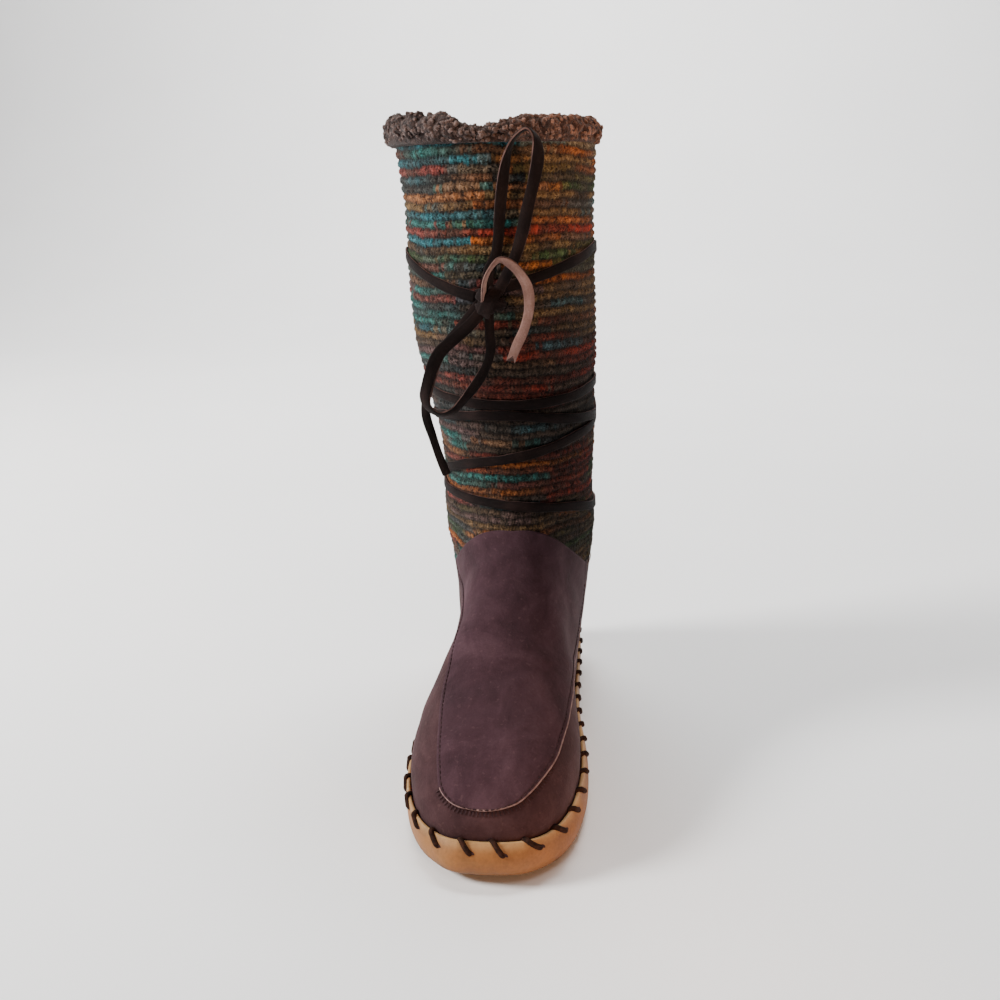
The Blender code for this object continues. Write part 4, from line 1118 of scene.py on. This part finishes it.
def yarn_chart_with_shade(courses, rng):
    """Colour of each stitch of each course: streaks by the yarn rows, dashes between, heathered brown, with
    painted shade low on the shaft and on its medial front.
    """
    table_z = np.array([row[0] for row in YARN_ROWS], float)
    lateral = np.array([row[1] for row in YARN_ROWS])
    medial = np.array([row[2] for row in YARN_ROWS])
    turned = ((np.arange(KNIT_STITCHES) + 0.5) * 360.0 / KNIT_STITCHES + 180.0) % 360.0 - 180.0
    chart_with_shade = np.empty((courses, KNIT_STITCHES, 3))
    for number in range(courses):
        z = KNIT_FOOT + (number + 0.5) * KNIT_PITCH
        k = int(np.argmin(np.abs(table_z - z)))
        back = (k + 17) % len(table_z)
        split = rng.uniform(-40.0, 36.0)
        rear = rng.normal(104.0, 24.0)
        colour = np.where((turned < split)[:, None], lateral[k], medial[k])
        colour = np.where((turned < -rear)[:, None], medial[back], colour)
        colour = np.where((turned > rear)[:, None], lateral[back], colour)
        for _ in range(int(rng.integers(6, 11))):
            start = int(rng.integers(0, KNIT_STITCHES))
            length = int(rng.integers(7, 30))
            dash = (start + np.arange(length)) % KNIT_STITCHES
            near = int(np.clip(k + rng.integers(-2, 3), 0, len(table_z) - 1))
            tone = (lateral if turned[start] < 0 else medial)[near]
            if rng.random() < 0.16:
                tone = np.array(PALETTE[int(rng.integers(0, len(PALETTE)))])
            ends = np.minimum(np.arange(length) + 1, length - np.arange(length)) / 5.0
            weight = np.where(rng.random(length) < ends, rng.uniform(0.45, 0.95), 0.15)[:, None]
            colour[dash] = colour[dash] * (1 - weight) + tone * weight
        strength = np.full(KNIT_STITCHES, 0.92)
        for _ in range(9):
            gap = np.abs((turned - rng.uniform(-180, 180) + 180) % 360 - 180) / rng.uniform(5, 20)
            strength *= 1 - rng.uniform(0.25, 0.85) * np.exp(-gap ** 2)
        # Painted shade: lower down the shaft, and most of all on its medial front, the stitches are painted
        # duller and darker.
        low = np.clip((290.0 - z) / 90.0, 0.0, 1.0)
        inner = np.clip((turned + 10.0) / 50.0, 0.0, 1.0) * np.clip((130.0 - turned) / 40.0, 0.0, 1.0)
        strength = strength * rng.uniform(0.72, 1.12, KNIT_STITCHES) * (1 - 0.22 * low - 0.16 * low * inner)
        strength[rng.random(KNIT_STITCHES) < 0.12] *= 0.55
        base = np.array(HEATHER) * rng.uniform(0.75, 1.35)
        mixture = base + (colour - base) * np.clip(strength, 0.06, 1.0)[:, None]
        light = rng.uniform(0.72, 1.25, KNIT_STITCHES) * (1 - 0.30 * low * inner)
        chart_with_shade[number] = mixture * light[:, None]
    return chart_with_shade


def make_knit():
    """Three bands of purl knit round the shaft, their stitches raised and coloured with painted shade,
    lined inside.
    """
    columns_count = KNIT_STITCHES * SAMPLES_ROUND
    columns = np.arange(columns_count) * float(COLUMNS) / columns_count
    angles = columns * 360.0 / COLUMNS
    levels = np.arange(KNIT_FOOT, COLLAR_HEIGHT, KNIT_PITCH / SAMPLES_UP)
    levels = np.append(levels, COLLAR_HEIGHT)
    rng = np.random.default_rng(KNIT_SEED)
    front_rows = rows_at(np.full((1, columns_count), INSTEP_HEIGHT), angles)
    places = plan_degrees(base_point(front_rows[0], angles))
    foot = top_line(places) - KNIT_TUCK
    heights = np.maximum(levels[:, None], foot[None, :])
    rows = rows_at(heights, angles)
    base = base_point(rows, angles[None, :])
    wander = 0.34 * soft_noise(base * np.array([1.0, 1.0, 0.6]), 60.0, 3) + 0.13 * soft_noise(base, 22.0, 4)
    wander = wander + 0.13 * soft_noise(base, 6.5, 6)
    course = (heights - KNIT_FOOT) / KNIT_PITCH + wander
    course = np.clip(course, 0.0, (COLLAR_HEIGHT - KNIT_FOOT) / KNIT_PITCH + 0.9)
    number = np.floor(course).astype(int)
    part = course - number
    stitch = np.arange(columns_count) // SAMPLES_ROUND
    across = (np.arange(columns_count) % SAMPLES_ROUND) / SAMPLES_ROUND
    shift = rng.uniform(-0.3, 0.3, int(number.max()) + 2)[number]
    u = (across[None, :] + shift) % 1.0
    relief = sum(bump_at(u, part, place, height, *BUMP_SIZE) for place, height in STITCH_BUMPS)
    relief = np.clip(relief, 0, 1.05)
    uneven = rng.uniform(0.58, 1.22, (int(number.max()) + 2, KNIT_STITCHES))
    relief = relief * uneven[number, stitch[None, :]]
    press = strap_press(levels, columns)
    folds = 0.9 * soft_noise(base * np.array([1.0, 1.0, 1.5]), 46.0, 5) + 0.4 * soft_noise(base, 17.0, 8)
    turned = (angles + 180.0) % 360.0 - 180.0
    slump = 1.3 * bump_at(turned[None, :] / 60.0, heights / 10.0, -0.2, 13.2, 1.0, 0.55)
    slump = slump + bump_at(turned[None, :] / 60.0, heights / 10.0, 0.1, 12.3, 1.0, 0.4)
    tuck = np.clip((heights - foot[None, :]) / 3.0, 0, 1)
    collar = np.clip((COLLAR_HEIGHT - heights) / 4.0, 0, 1)
    out = KNIT_RELIEF * (relief - 0.42) * (1 - 0.50 * press) - 0.42 * press
    out = out + folds * 0.55 * (1 - 0.8 * press)
    out = (out + slump) * collar * tuck - 2.0 * (1 - tuck) - 0.4 * (1 - collar)
    outer, _ = form_point(rows, angles[None, :], out)
    chart_with_shade = yarn_chart_with_shade(int(number.max()) + 1, rng)
    # Painted shade: each stitch's colour darkens towards the valleys between its purl bumps.
    valley_shade = 0.20 + 0.80 * np.clip(relief, 0, 1)[..., None] ** 0.9
    # Painted shade: right under the laces the knit's colour is up to a third darker.
    tones_and_shading = chart_with_shade[number, stitch[None, :]] * valley_shade * (1 - 0.35 * press)[..., None]
    pieces = []
    third = len(levels) // 3 + 1
    for k in range(3):
        start, stop = k * third, min((k + 1) * third, len(levels) - 1)
        chosen = np.arange(start, stop + 1)
        back = np.linspace(stop, start, 9).astype(int)
        inner, _ = form_point(rows[back], angles[None, :], np.full(rows[back].shape, -KNIT_WALL))
        lift = 0.5 * soft_noise(inner, 9.0, 21)
        inner, _ = form_point(rows[back], angles[None, :], -KNIT_WALL + lift)
        rings = np.concatenate([outer[chosen], inner])
        colour = np.concatenate([tones_and_shading[chosen], np.full((len(back), columns_count, 3), 0.08)])
        colour = np.concatenate([colour, np.ones(colour.shape[:2] + (1,))], -1)
        slots = [0] * (len(chosen) - 1) + [1] * (len(back) + 1)
        body = ring_body("knit_band_%d" % k, rings, (YARN, LINING), slots, None, colour.reshape(-1, 4))
        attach(body, "root")
        pieces.append(body)
    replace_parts(pieces[0], "knit_shaft")


make_knit()


# Suede foot

def floor_angle(rows, sign):
    """The angle where each row comes down to the cup's floor on one side, 180 where it stays above."""
    angles = np.linspace(60.0, 180.0, 241)
    line = base_point(np.asarray(rows)[:, None], sign * angles[None, :])
    floor = CUP_FLOOR + CLEARANCE + spring(line[..., 1])
    found = np.full(len(rows), 180.0)
    for i in range(len(rows)):
        below = np.flatnonzero(line[i, :, 2] < floor[i])
        if len(below):
            found[i] = angles[max(below[0] - 1, 0)]
    return found


def suede_relief(row, angle, points):
    """Unevenness and soft folds of the suede in mm."""
    out = 0.55 * soft_noise(points, 38.0, 12) + 0.22 * soft_noise(points, 15.0, 14)
    for at_row, at_angle, wide_row, wide_angle, depth in FOLDS:
        out = out + depth * bump_at(row, angle, at_row, at_angle, wide_row, wide_angle)
    return FOLD_SHARE * out


def make_upper():
    """The suede foot from the cup's floor to its top line, with its top-line and heel stitches."""
    share = np.linspace(0.0, 1.0, 160)
    side = np.linspace(-1.0, 1.0, 201)
    tops = np.empty(len(side))
    rows_try = np.linspace(11.5, 20.0, 500)
    for j, t in enumerate(side):
        line = base_point(rows_try, 180.0 * t)
        over = np.flatnonzero(line[:, 2] - top_line(plan_degrees(line)) > -0.2)
        tops[j] = rows_try[over[0]] if len(over) else 20.0
    tops = eased(tops, 2)
    row = share[:, None] * tops[None, :]
    lateral = eased(floor_angle(row[:, 0], -1.0), 3)[:, None]
    medial = eased(floor_angle(row[:, -1], 1.0), 3)[:, None]
    angle = side[None, :] * np.where(side[None, :] < 0, lateral, medial)
    points = base_point(row, angle)
    floor = CUP_FLOOR + CLEARANCE + spring(points[..., 1])
    visible = np.clip((points[..., 2] - lip_height(points[..., 1]) - 2.0) / 8.0, 0.0, 1.0)
    out = SUEDE_STEP + suede_relief(row, angle, points) * visible
    edge = np.clip((1.0 - share[:, None]) * 60.0, 0.0, 1.0)
    out = out - 0.5 * (1 - edge) ** 2
    outer, _ = form_point(row, angle, out)
    inner, _ = form_point(row, angle, np.full(row.shape, SUEDE_STEP - SUEDE_WALL))
    outer[..., 2] = np.maximum(outer[..., 2], floor)
    inner[..., 2] = np.maximum(inner[..., 2], floor)
    upper = two_sided_body("suede_foot", outer, inner, (SUEDE, CUT_EDGE))
    lines = []
    for start in np.arange(-1.0, 1.0, TOP_STITCH_PITCH) + TOP_STITCH_SHIFT:
        stop = start + TOP_STITCH_LENGTH
        if abs(start) < TOP_STITCH_FROM:
            continue
        rows = np.linspace(*np.interp([start, stop], side, tops), 3) - 0.045
        sunk = SUEDE_STEP + np.array([-0.15, 0.22, -0.15])
        lines.append(form_point(rows, np.linspace(start, stop, 3) * 180.0, sunk)[0])
    stitches = threads("top_line_stitches", lines, THREAD_RADIUS, PALE_THREAD, 6)
    lines = []
    heel_rows = np.linspace(16.9, 18.9, 26)
    for a, b in zip(heel_rows[:-1], heel_rows[1:]):
        rows = np.linspace(a + 0.012, b - 0.02, 3)
        for offset in HEEL_SEAMS:
            sunk = SUEDE_STEP + np.array([-0.1, 0.45, -0.1])
            lines.append(form_point(rows, np.full(3, 180.0 + offset), sunk)[0])
    seam = threads("heel_seam_stitches", lines, HEEL_THREAD_RADIUS, PALE_THREAD, 6)
    for piece in (upper, stitches, seam):
        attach(piece, "root")
    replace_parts(upper, "upper")


make_upper()


def panel_place(line, step):
    """Row and angle of the panel: line 0 at the toe to 1 at the top, step -1 lateral to 1 medial."""
    line, step = np.broadcast_arrays(np.asarray(line, float), np.asarray(step, float))
    table = smooth_rows(PANEL_ROWS, line * (len(PANEL_ROWS) - 1))
    centre, lateral_row, lateral_angle, medial_row, medial_angle = np.moveaxis(table, -1, 0)
    side_row = np.where(step < 0, lateral_row, medial_row)
    side_angle = np.where(step < 0, -lateral_angle, medial_angle)
    row = centre + (side_row - centre) * np.abs(step) ** PANEL_BOW
    return row, side_angle * step


def panel_border(lateral_from, medial_to, step, lift):
    """Points along the panel's edge from the lateral side round the toe, with normals and distances."""
    places = []
    for line in np.linspace(lateral_from, 0.0, 300):
        places.append((line, -step))
    for across in np.linspace(-step, step, 60)[1:-1]:
        places.append((0.003, across))
    for line in np.linspace(0.0, medial_to, 300):
        places.append((line, step))
    places = np.array(places)
    row, angle = panel_place(places[:, 0], places[:, 1])
    points, normal = form_point(row, angle, lift)
    points = points + normal * suede_relief(row, angle, points)[:, None]
    steps = np.linalg.norm(np.diff(points, axis=0), axis=1)
    return points, normal, np.concatenate([[0.0], np.cumsum(steps)])


def along_line(at, travelled, values):
    """Values at distances along a line."""
    return np.stack([np.interp(at, travelled, values[:, k]) for k in range(values.shape[1])], -1)


def make_panel():
    """The apron and tongue, with its cut edge, its stitches and the seam's ticks round the toe."""
    lines = np.concatenate([
        np.linspace(0, 0.012, 5)[:-1], np.linspace(0.012, 0.985, 170), np.linspace(0.985, 1, 6)[1:]])
    steps = np.concatenate([
        np.linspace(-1, -0.96, 5)[:-1], np.linspace(-0.96, 0.96, 101), np.linspace(0.96, 1, 5)[1:]])
    row, angle = panel_place(lines[:, None], steps[None, :])
    points = base_point(row, angle)
    from_side = (1 - np.abs(steps))[None, :]
    near = np.minimum(from_side / 0.035, lines[:, None] / 0.010)
    near = np.clip(np.minimum(near, (1 - lines)[:, None] / 0.012), 0.0, 1.0)
    round_edge = np.sqrt(1 - (1 - near) ** 2)
    relief = suede_relief(row, angle, points)
    away = np.clip(np.minimum(from_side / 0.12, lines[:, None] / 0.05), 0.0, 1.0)
    lift = SUEDE_STEP + 1.2 * CLEARANCE
    inner_out = lift + relief
    seam_dip = np.exp(-(np.minimum(from_side * 44.0, lines[:, None] * 190.0) - 3.0) ** 2)
    outer_out = inner_out + PANEL_THICKNESS * (0.55 + 0.45 * round_edge)
    outer_out = outer_out - 0.28 * seam_dip + 0.25 / FOLD_SHARE * relief * away
    outer, _ = form_point(row, angle, outer_out)
    inner, _ = form_point(row, angle, inner_out)
    panel = two_sided_body("vamp_and_tongue", outer, inner, (PANEL_SUEDE, CUT_EDGE))
    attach(panel, "root")
    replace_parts(panel, "vamp_panel")
    bead = panel_border(0.97, 0.97, 1.0, lift + 0.55 * PANEL_THICKNESS)[0]
    half = len(bead) // 2
    pieces = []
    for name, first, last, radius, material in (
            ("panel_edge_medial", half - 20, len(bead), 0.56, CUT_EDGE),
            ("panel_edge_toe", half - 110, half - 18, 0.44, CUT_EDGE),
            ("panel_edge_lateral", 0, half - 108, 0.42, PANEL_SUEDE)):
        pieces.append(threads(name, [bead[first:last]], radius, material))
    on_panel, normal, travelled = panel_border(0.96, 0.96, 0.935, lift + PANEL_THICKNESS)
    lines = []
    for start in np.arange(1.0, travelled[-1] - 3.0, PANEL_STITCH_PITCH):
        at = start + np.array([0.0, 1.0, 2.0])
        sunk = along_line(at, travelled, normal) * np.array([-0.35, 0.16, -0.35])[:, None]
        lines.append(along_line(at, travelled, on_panel) + sunk)
    pieces.append(threads("panel_stitches", lines, THREAD_RADIUS, THREAD, 6))
    edge_points, edge_normal, travelled = panel_border(0.26, 0.38, 1.0, SUEDE_STEP + 0.30)
    middle = base_point(np.array(5.0), np.array(0.0))
    ticks = []
    for start in np.arange(0.5, travelled[-1], TICK_PITCH):
        point = along_line([start], travelled, edge_points)[0]
        normal = along_line([start], travelled, edge_normal)[0]
        way = point - middle
        way = unit(way - normal * np.dot(way, normal))
        ticks.append(np.array([point + way * reach + normal * rise for reach, rise in TICK_SHAPE]))
    pieces.append(threads("toe_seam_ticks", ticks, TICK_RADIUS, SEAM, 6))
    for piece in pieces:
        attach(piece, "root")


make_panel()


# Sole with its whip stitches

# Middle of the wall; its top and lip, paler as a painted highlight; its foot, darker towards the bottom
RUBBER_TINTS = ((0.255, 0.106, 0.028), (0.42, 0.24, 0.098), (0.105, 0.050, 0.019))


def wall_profile():
    """Side wall of the sole: width share, tuck share and height share, on a smooth curve."""
    return smooth_rows(WALL_ROWS, np.linspace(0, len(WALL_ROWS) - 1, 21))


def arch_rise(y):
    """Rise of the sole's underside at the arch."""
    radius = ((ARCH_LENGTH / 2) ** 2 + ARCH_DEPTH ** 2) / (2 * ARCH_DEPTH)
    inside = np.clip(radius ** 2 - (y - ARCH_MIDDLE) ** 2, 0, None)
    return np.clip(np.sqrt(inside) - (radius - ARCH_DEPTH), 0.0, None)


def groove_rise(y):
    """Rise of the sole's underside in its flex grooves."""
    rise = np.zeros_like(y)
    for place in GROOVE_PLACES:
        side = np.abs(y - place) - GROOVE_WIDTH / 2
        rise = np.maximum(rise, GROOVE_DEPTH * np.clip(-side / 0.35 + 0.5, 0.0, 1.0))
    return rise


def sole_places():
    """Shares of the sole's length for its cross-lines: closer at the ends and at each groove."""
    base = (1.0 - np.cos(np.linspace(0.0, math.pi, 131))) / 2
    toe = base_point(0.0, 0.0)[1]
    steps = np.array((-1.9, -1.5, -1.3, -0.6, 0.6, 1.3, 1.5, 1.9))
    extra = (np.add.outer(GROOVE_PLACES, steps).ravel() - toe) / (FOOT_LENGTH - 1.0)
    merged = np.sort(np.concatenate([base, extra]))
    merged = merged[np.concatenate([[True], np.diff(merged) > 0.0008])]
    merged[0], merged[-1] = 0.0, 1.0
    return merged


def make_sole():
    """The cup sole: side wall, lip and cup's floor, coloured by height with a painted highlight on top and
    painted shade inside the cup, and its brim for the stitches.
    """
    places = sole_places()
    brim = level_outline(LIP_HEIGHT * LIP_LINE[-1][1], places)
    foot = level_outline(CUP_FLOOR + 3.0, places)
    inner = SUEDE_STEP + 2.1 * CLEARANCE
    edge = inner + LIP_INNER_EDGE
    width = lip_width(brim)
    rings = []
    tones_and_shading = []
    rubber, painted_highlight, darker_foot = np.array(RUBBER_TINTS)
    for share, tuck, height in wall_profile():
        ring = grown(brim, edge + (share - WALL_ROWS[-1][0]) * width - tuck * LIP_HEIGHT)
        low = spring(ring[:, 1])
        under = low + arch_rise(ring[:, 1]) + groove_rise(ring[:, 1])
        z = np.maximum(low + height * lip_height(ring[:, 1]), under + 0.02 * height)
        rings.append(np.column_stack([ring, z]))
        # Painted highlight: the top of the side wall is blended towards the paler tint; the bottom is made
        # darker.
        top = np.clip((height - 0.80) / 0.2, 0, 1) ** 1.5
        bottom = np.clip((0.42 - height) / 0.42, 0, 1) ** 1.4
        tint = rubber + (painted_highlight - rubber) * top * 0.75 + (darker_foot - rubber) * bottom * 0.85
        tones_and_shading.append(np.tile(tint, (len(ring), 1)))
    for share, rise in LIP_TOP:
        ring = grown(brim, inner + LIP_INNER_EDGE * share)
        z = spring(ring[:, 1]) + lip_height(ring[:, 1]) + rise
        rings.append(np.column_stack([ring, z]))
        # Painted highlight on the lip's top; its inside is half as bright, as painted shade.
        shade = painted_highlight if rise > -0.3 else rubber * 0.5
        tones_and_shading.append(np.tile(shade, (len(ring), 1)))
    # Painted shade: the cup's floor is half as bright.
    ring = grown(foot, inner)
    rings.append(np.column_stack([ring, spring(ring[:, 1]) + CUP_FLOOR]))
    tones_and_shading.append(np.tile(rubber * 0.5, (len(ring), 1)))
    rings = np.array(rings)
    n, m, _ = rings.shape
    faces = []
    for r in range(n - 1):
        a = r * m + np.arange(m)
        b = r * m + (np.arange(m) + 1) % m
        faces.extend(np.stack([a, b, b + m, a + m], -1).tolist())
    half = m // 2
    for offset, turn in ((0, False), ((n - 1) * m, True)):
        made = [[0, 1, m - 1]]
        for i in range(1, half - 1):
            made.append([i, i + 1, m - i - 1, m - i])
        made.append([half - 1, half, half + 1])
        for face in made:
            face = [offset + i for i in face]
            faces.append(face[::-1] if not turn else face)
    colour = np.column_stack([np.concatenate(tones_and_shading), np.ones(n * m)])
    sole = mesh_object("cup_sole", rings, faces, (RUBBER,), None, None, colour)
    work = bmesh.new()
    work.from_mesh(sole.data)
    bmesh.ops.recalc_face_normals(work, faces=work.faces)
    work.to_mesh(sole.data)
    work.free()
    sole.data.shade_smooth()
    sole.data.set_sharp_from_angle(angle=math.radians(38.0))
    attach(sole, "root")
    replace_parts(sole, "outsole")
    return brim, width, inner, edge


BRIM, BRIM_WIDTH, CUP_INNER, LIP_EDGE = make_sole()


def make_whip_stitches():
    """Thick thongs over the lip, slanted one way all round, with a small dark plug at each lower end as
    painted shade in its hole.
    """
    normals = unit(soften(ring_normals(BRIM), 4))
    steps = np.linalg.norm(np.roll(BRIM, -1, axis=0) - BRIM, axis=1)
    travelled = np.concatenate([[0], np.cumsum(steps)])
    total = travelled[-1]
    around = np.column_stack([BRIM, normals, BRIM_WIDTH])
    around = np.vstack([around, around[:1]])
    profile = wall_profile()

    def lip_at(distance):
        """Place, outward direction, width, top and height of the lip at a distance round it."""
        found = along_line(distance % total, travelled, around)
        tall = float(lip_height(found[1]))
        return found[:2], unit(found[2:4]), found[4], float(spring(found[1])) + tall, tall

    def wall_out(width, tall, down):
        """How far the wall stands out of the brim at a depth below the lip's top."""
        share = np.interp(1.0 - down / tall, profile[:, 2], profile[:, 0])
        return LIP_EDGE + (share - WALL_ROWS[-1][0]) * width

    lines = []
    hole_shades = []
    count = int(round(total / WHIP_PITCH))
    pitch = total / count
    rng = np.random.default_rng(WHIP_SEED)
    for k in range(count):
        start = (k + 0.5) * pitch + rng.uniform(-0.6, 0.6)
        slant = WHIP_SLANT - rng.uniform(-0.9, 0.9)
        drop = WHIP_DROP + rng.uniform(-0.5, 0.5)
        line = []
        for share in np.linspace(0.0, 1.0, 11):
            place, way, width, high, tall = lip_at(start + slant * (share - 0.35))
            if share < 0.30:
                part = share / 0.30
                out = CUP_INNER + (part - 0.25) * LIP_INNER_EDGE * 1.15
                z = high + 0.70 * math.sin(part * math.pi * 0.55) - 1.6 * (1 - part) ** 3
            else:
                part = (share - 0.30) / 0.70
                lift = 0.42 * math.sin(min(1.0, 0.35 + (1 - part) * 0.65) * math.pi / 2)
                lift -= 2.2 * max(0.0, part - 0.82) / 0.18
                out = wall_out(width, tall, drop * part) + lift
                z = high + 0.55 * (1 - part) ** 2 - drop * part
            line.append((*(place + way * out), z))
        lines.append(smooth_rows(line, np.linspace(0, 10, 19)))
        # Painted shade: a short dark plug sunk into the wall at each stitch's end stands for the shade in
        # its hole.
        place, way, width, high, tall = lip_at(start + slant * 0.66)
        hole = np.array([*(place + way * (wall_out(width, tall, drop) - 0.9)), high - drop])
        hole_shades.append(np.array([hole, hole + np.array([*way, 0.0]) * 0.93]))
    stitches = threads("whip_stitches", lines, WHIP_RADIUS, THONG, 12)
    marks = threads("stitch_holes", hole_shades, HOLE_RADIUS, THREAD, 12)
    for piece in (stitches, marks):
        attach(piece, "root")


make_whip_stitches()


# Fleece cuff

def nub_shape():
    """One small round nub of the fleece, slightly lumpy."""
    work = bmesh.new()
    bmesh.ops.create_icosphere(work, subdivisions=2, radius=1.0)
    for vert in work.verts:
        p = vert.co
        swell = 1.0 + 0.16 * math.sin(4.1 * p.x + 1.0) * math.sin(3.7 * p.y)
        swell += 0.12 * math.sin(5.3 * p.z + 2.0 * p.x)
        vert.co = Vector((p.x * swell, p.y * swell * 0.82, p.z * swell * 0.72)) * MM
    mesh = bpy.data.meshes.new("nub_source")
    work.to_mesh(mesh)
    work.free()
    mesh.materials.append(NUB)
    mesh.shade_smooth()
    return linked("nub_source", mesh)


def make_cuff():
    """The lumpy fleece roll on the collar, pressed flat underneath, with its nubs."""
    count = CUFF_SAMPLES
    angles = np.arange(count) * 360.0 / count
    edge, normal = form_point(np.full(count, float(TOP_ROW)), angles, np.full(count, -KNIT_WALL / 2))
    line = np.array(ROLL_LINE)
    tall = np.interp(angles, line[:, 0], line[:, 1]) * ROLL_HEIGHT / 2
    wide = np.interp(angles, line[:, 0], line[:, 2]) * ROLL_WIDTH / 2
    edge[:, 0] -= ROLL_LEAN
    flat = unit(normal * np.array([1.0, 1.0, 0.0]))
    turns = np.linspace(0, 2 * math.pi, 57)[:-1]
    rings = []
    facings = []
    for turn in turns:
        point = edge + flat * (wide * math.cos(turn))[:, None]
        point[:, 2] = COLLAR_HEIGHT + CLEARANCE + tall + tall * math.sin(turn)
        facing = flat * math.cos(turn)
        facing[:, 2] = math.sin(turn)
        rings.append(point)
        facings.append(facing)
    rings = np.array(rings)
    facings = np.array(facings)
    rng = np.random.default_rng(FLEECE_SEED)
    centres = rings[rng.integers(0, len(turns), FLEECE_LUMPS), rng.integers(0, count, FLEECE_LUMPS)]
    sizes = rng.uniform(*LUMP_SIZES, FLEECE_LUMPS)
    lumps = np.full(rings.shape[:2], -1.0)
    for centre, size in zip(centres, sizes):
        gap = np.linalg.norm(rings - centre, axis=-1) / size
        near = gap < 1.15
        lumps[near] = np.maximum(lumps[near], 1.0 - gap[near] ** 2 * 1.3)
    round_it = np.radians(angles)[None, :]
    pleats = np.sin(round_it * 46 + 1.7 * np.sin(round_it * 9) + 0.9 * np.cos(turns)[:, None])
    low_side = np.clip(0.6 - np.sin(turns), 0.0, 1.0)[:, None]
    lobes = soft_noise(rings, 17.0, 33)
    out = 1.6 * np.clip(lumps, -0.7, 1.0) - 1.1 + 0.9 * lobes + 0.45 * pleats * low_side
    pressed = np.clip((-facings[..., 2] - 0.62) / 0.25, 0.0, 1.0)
    out = out * (1 - pressed) + np.maximum(out, 1.0) * pressed
    placed = rings + facings * out[..., None]
    placed[..., 2] = np.maximum(placed[..., 2], COLLAR_HEIGHT - 0.8)
    roll = ring_body("fleece_roll", placed[::-1], (FLEECE_SHADED,))
    brim = (facings[..., 2] < -0.30) & (facings[..., 2] > -0.80)
    raised = np.argwhere(((lumps > -0.55) & (facings[..., 2] > -0.9)) | brim)
    chosen = raised[rng.choice(len(raised), FLEECE_NUBS, replace=False)]
    at = (chosen[:, 0], chosen[:, 1])
    source = nub_shape()
    points = placed[at] - facings[at] * 0.15
    nubs = tufts("fleece_nubs", points, facings[at], source, *NUB_SIZES, NUB_SEED, NUB)
    bpy.data.objects.remove(source, do_unlink=True)
    for piece in (roll, nubs):
        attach(piece, "root")
    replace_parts(roll, "fleece_cuff")


make_cuff()


# Footbed keeps its solid

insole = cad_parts["insole"]
insole.data.materials.clear()
insole.data.materials.append(FELT)


# Floor, light and sky

def make_stage():
    """Paper floor that rises behind in a quarter round, in metres."""
    depth = [(-3.2, 0.0), (-1.0, 0.0), (0.6, 0.0), (1.4, 0.0)]
    for turn in np.linspace(0.0, math.pi / 2, 13)[1:]:
        depth.append((1.4 + math.sin(turn) * 1.2, 1.2 - math.cos(turn) * 1.2))
    depth.append((2.6, 4.0))
    points = [(side, y, z) for y, z in depth for side in (-4.0, 4.0)]
    faces = [(2 * i, 2 * i + 1, 2 * i + 3, 2 * i + 2) for i in range(len(depth) - 1)]
    material, tree, shader = new_material("studio_paper")
    stops = ((0.3, (0.90, 0.895, 0.89)), (0.7, (0.93, 0.925, 0.92)))
    tone = ramp_of(tree, noise_of(tree, 3.0, 2.0, 0.5), stops)
    dress(tree, shader, tone, 0.9, 0.5)
    floor = mesh_object("studio_floor", np.array(points) / MM, faces, (material,))


def add_light(name, kind, place, target, power, colour):
    data = bpy.data.lights.new(name, kind)
    data.energy = power
    data.color = colour
    light = linked(name, data)
    light.rotation_euler = (Vector(target) - Vector(place)).to_track_quat("-Z", "Y").to_euler()
    light.location = place
    return data


def area_light(name, place, target, size, power, colour):
    data = add_light(name, "AREA", place, target, power, colour)
    data.shape = "DISK"
    data.size = size


def warm_spot(name, place, target, angle, power, colour):
    """A narrow warm spot with a soft edge."""
    data = add_light(name, "SPOT", place, target, power, colour)
    data.spot_size = math.radians(angle)
    data.spot_blend = 0.9
    data.shadow_soft_size = 0.06


make_stage()
area_light("key_left", (-1.62, -0.34, 1.00), (0.0, 0.0, 0.15), 0.50, 64.0, (1.0, 0.98, 0.96))
area_light("top_soft", (0.05, -0.75, 1.70), (0.0, -0.05, 0.05), 0.6, 6.0, (1.0, 0.95, 0.92))
area_light("wall_wash", (0.0, 0.9, 2.4), (0.0, 2.6, 0.6), 1.6, 120.0, (1.0, 1.0, 1.0))
warm_spot("sole_glow", (0.66, -0.82, 0.20), (0.040, -0.10, 0.014), 14.0, 27.0, (1.0, 0.50, 0.23))
warm_spot("cuff_glow", (0.80, -0.90, 0.72), (0.055, -0.03, 0.340), 7.5, 72.0, (1.0, 0.62, 0.38))

# The sky lights the boot little and looks pale to the camera
world = bpy.data.worlds.new("studio_sky")
world.use_nodes = True
sky_tree = world.node_tree
sky = sky_tree.nodes["Background"]
sky.inputs["Color"].default_value = (0.95, 0.96, 1.0, 1.0)
seen = make_node(sky_tree, "ShaderNodeLightPath").outputs["Is Camera Ray"]
strength = make_node(sky_tree, "ShaderNodeMapRange", {0: seen, 3: 0.07, 4: 0.90})
sky_tree.links.new(strength.outputs[0], sky.inputs["Strength"])
bpy.context.scene.world = world
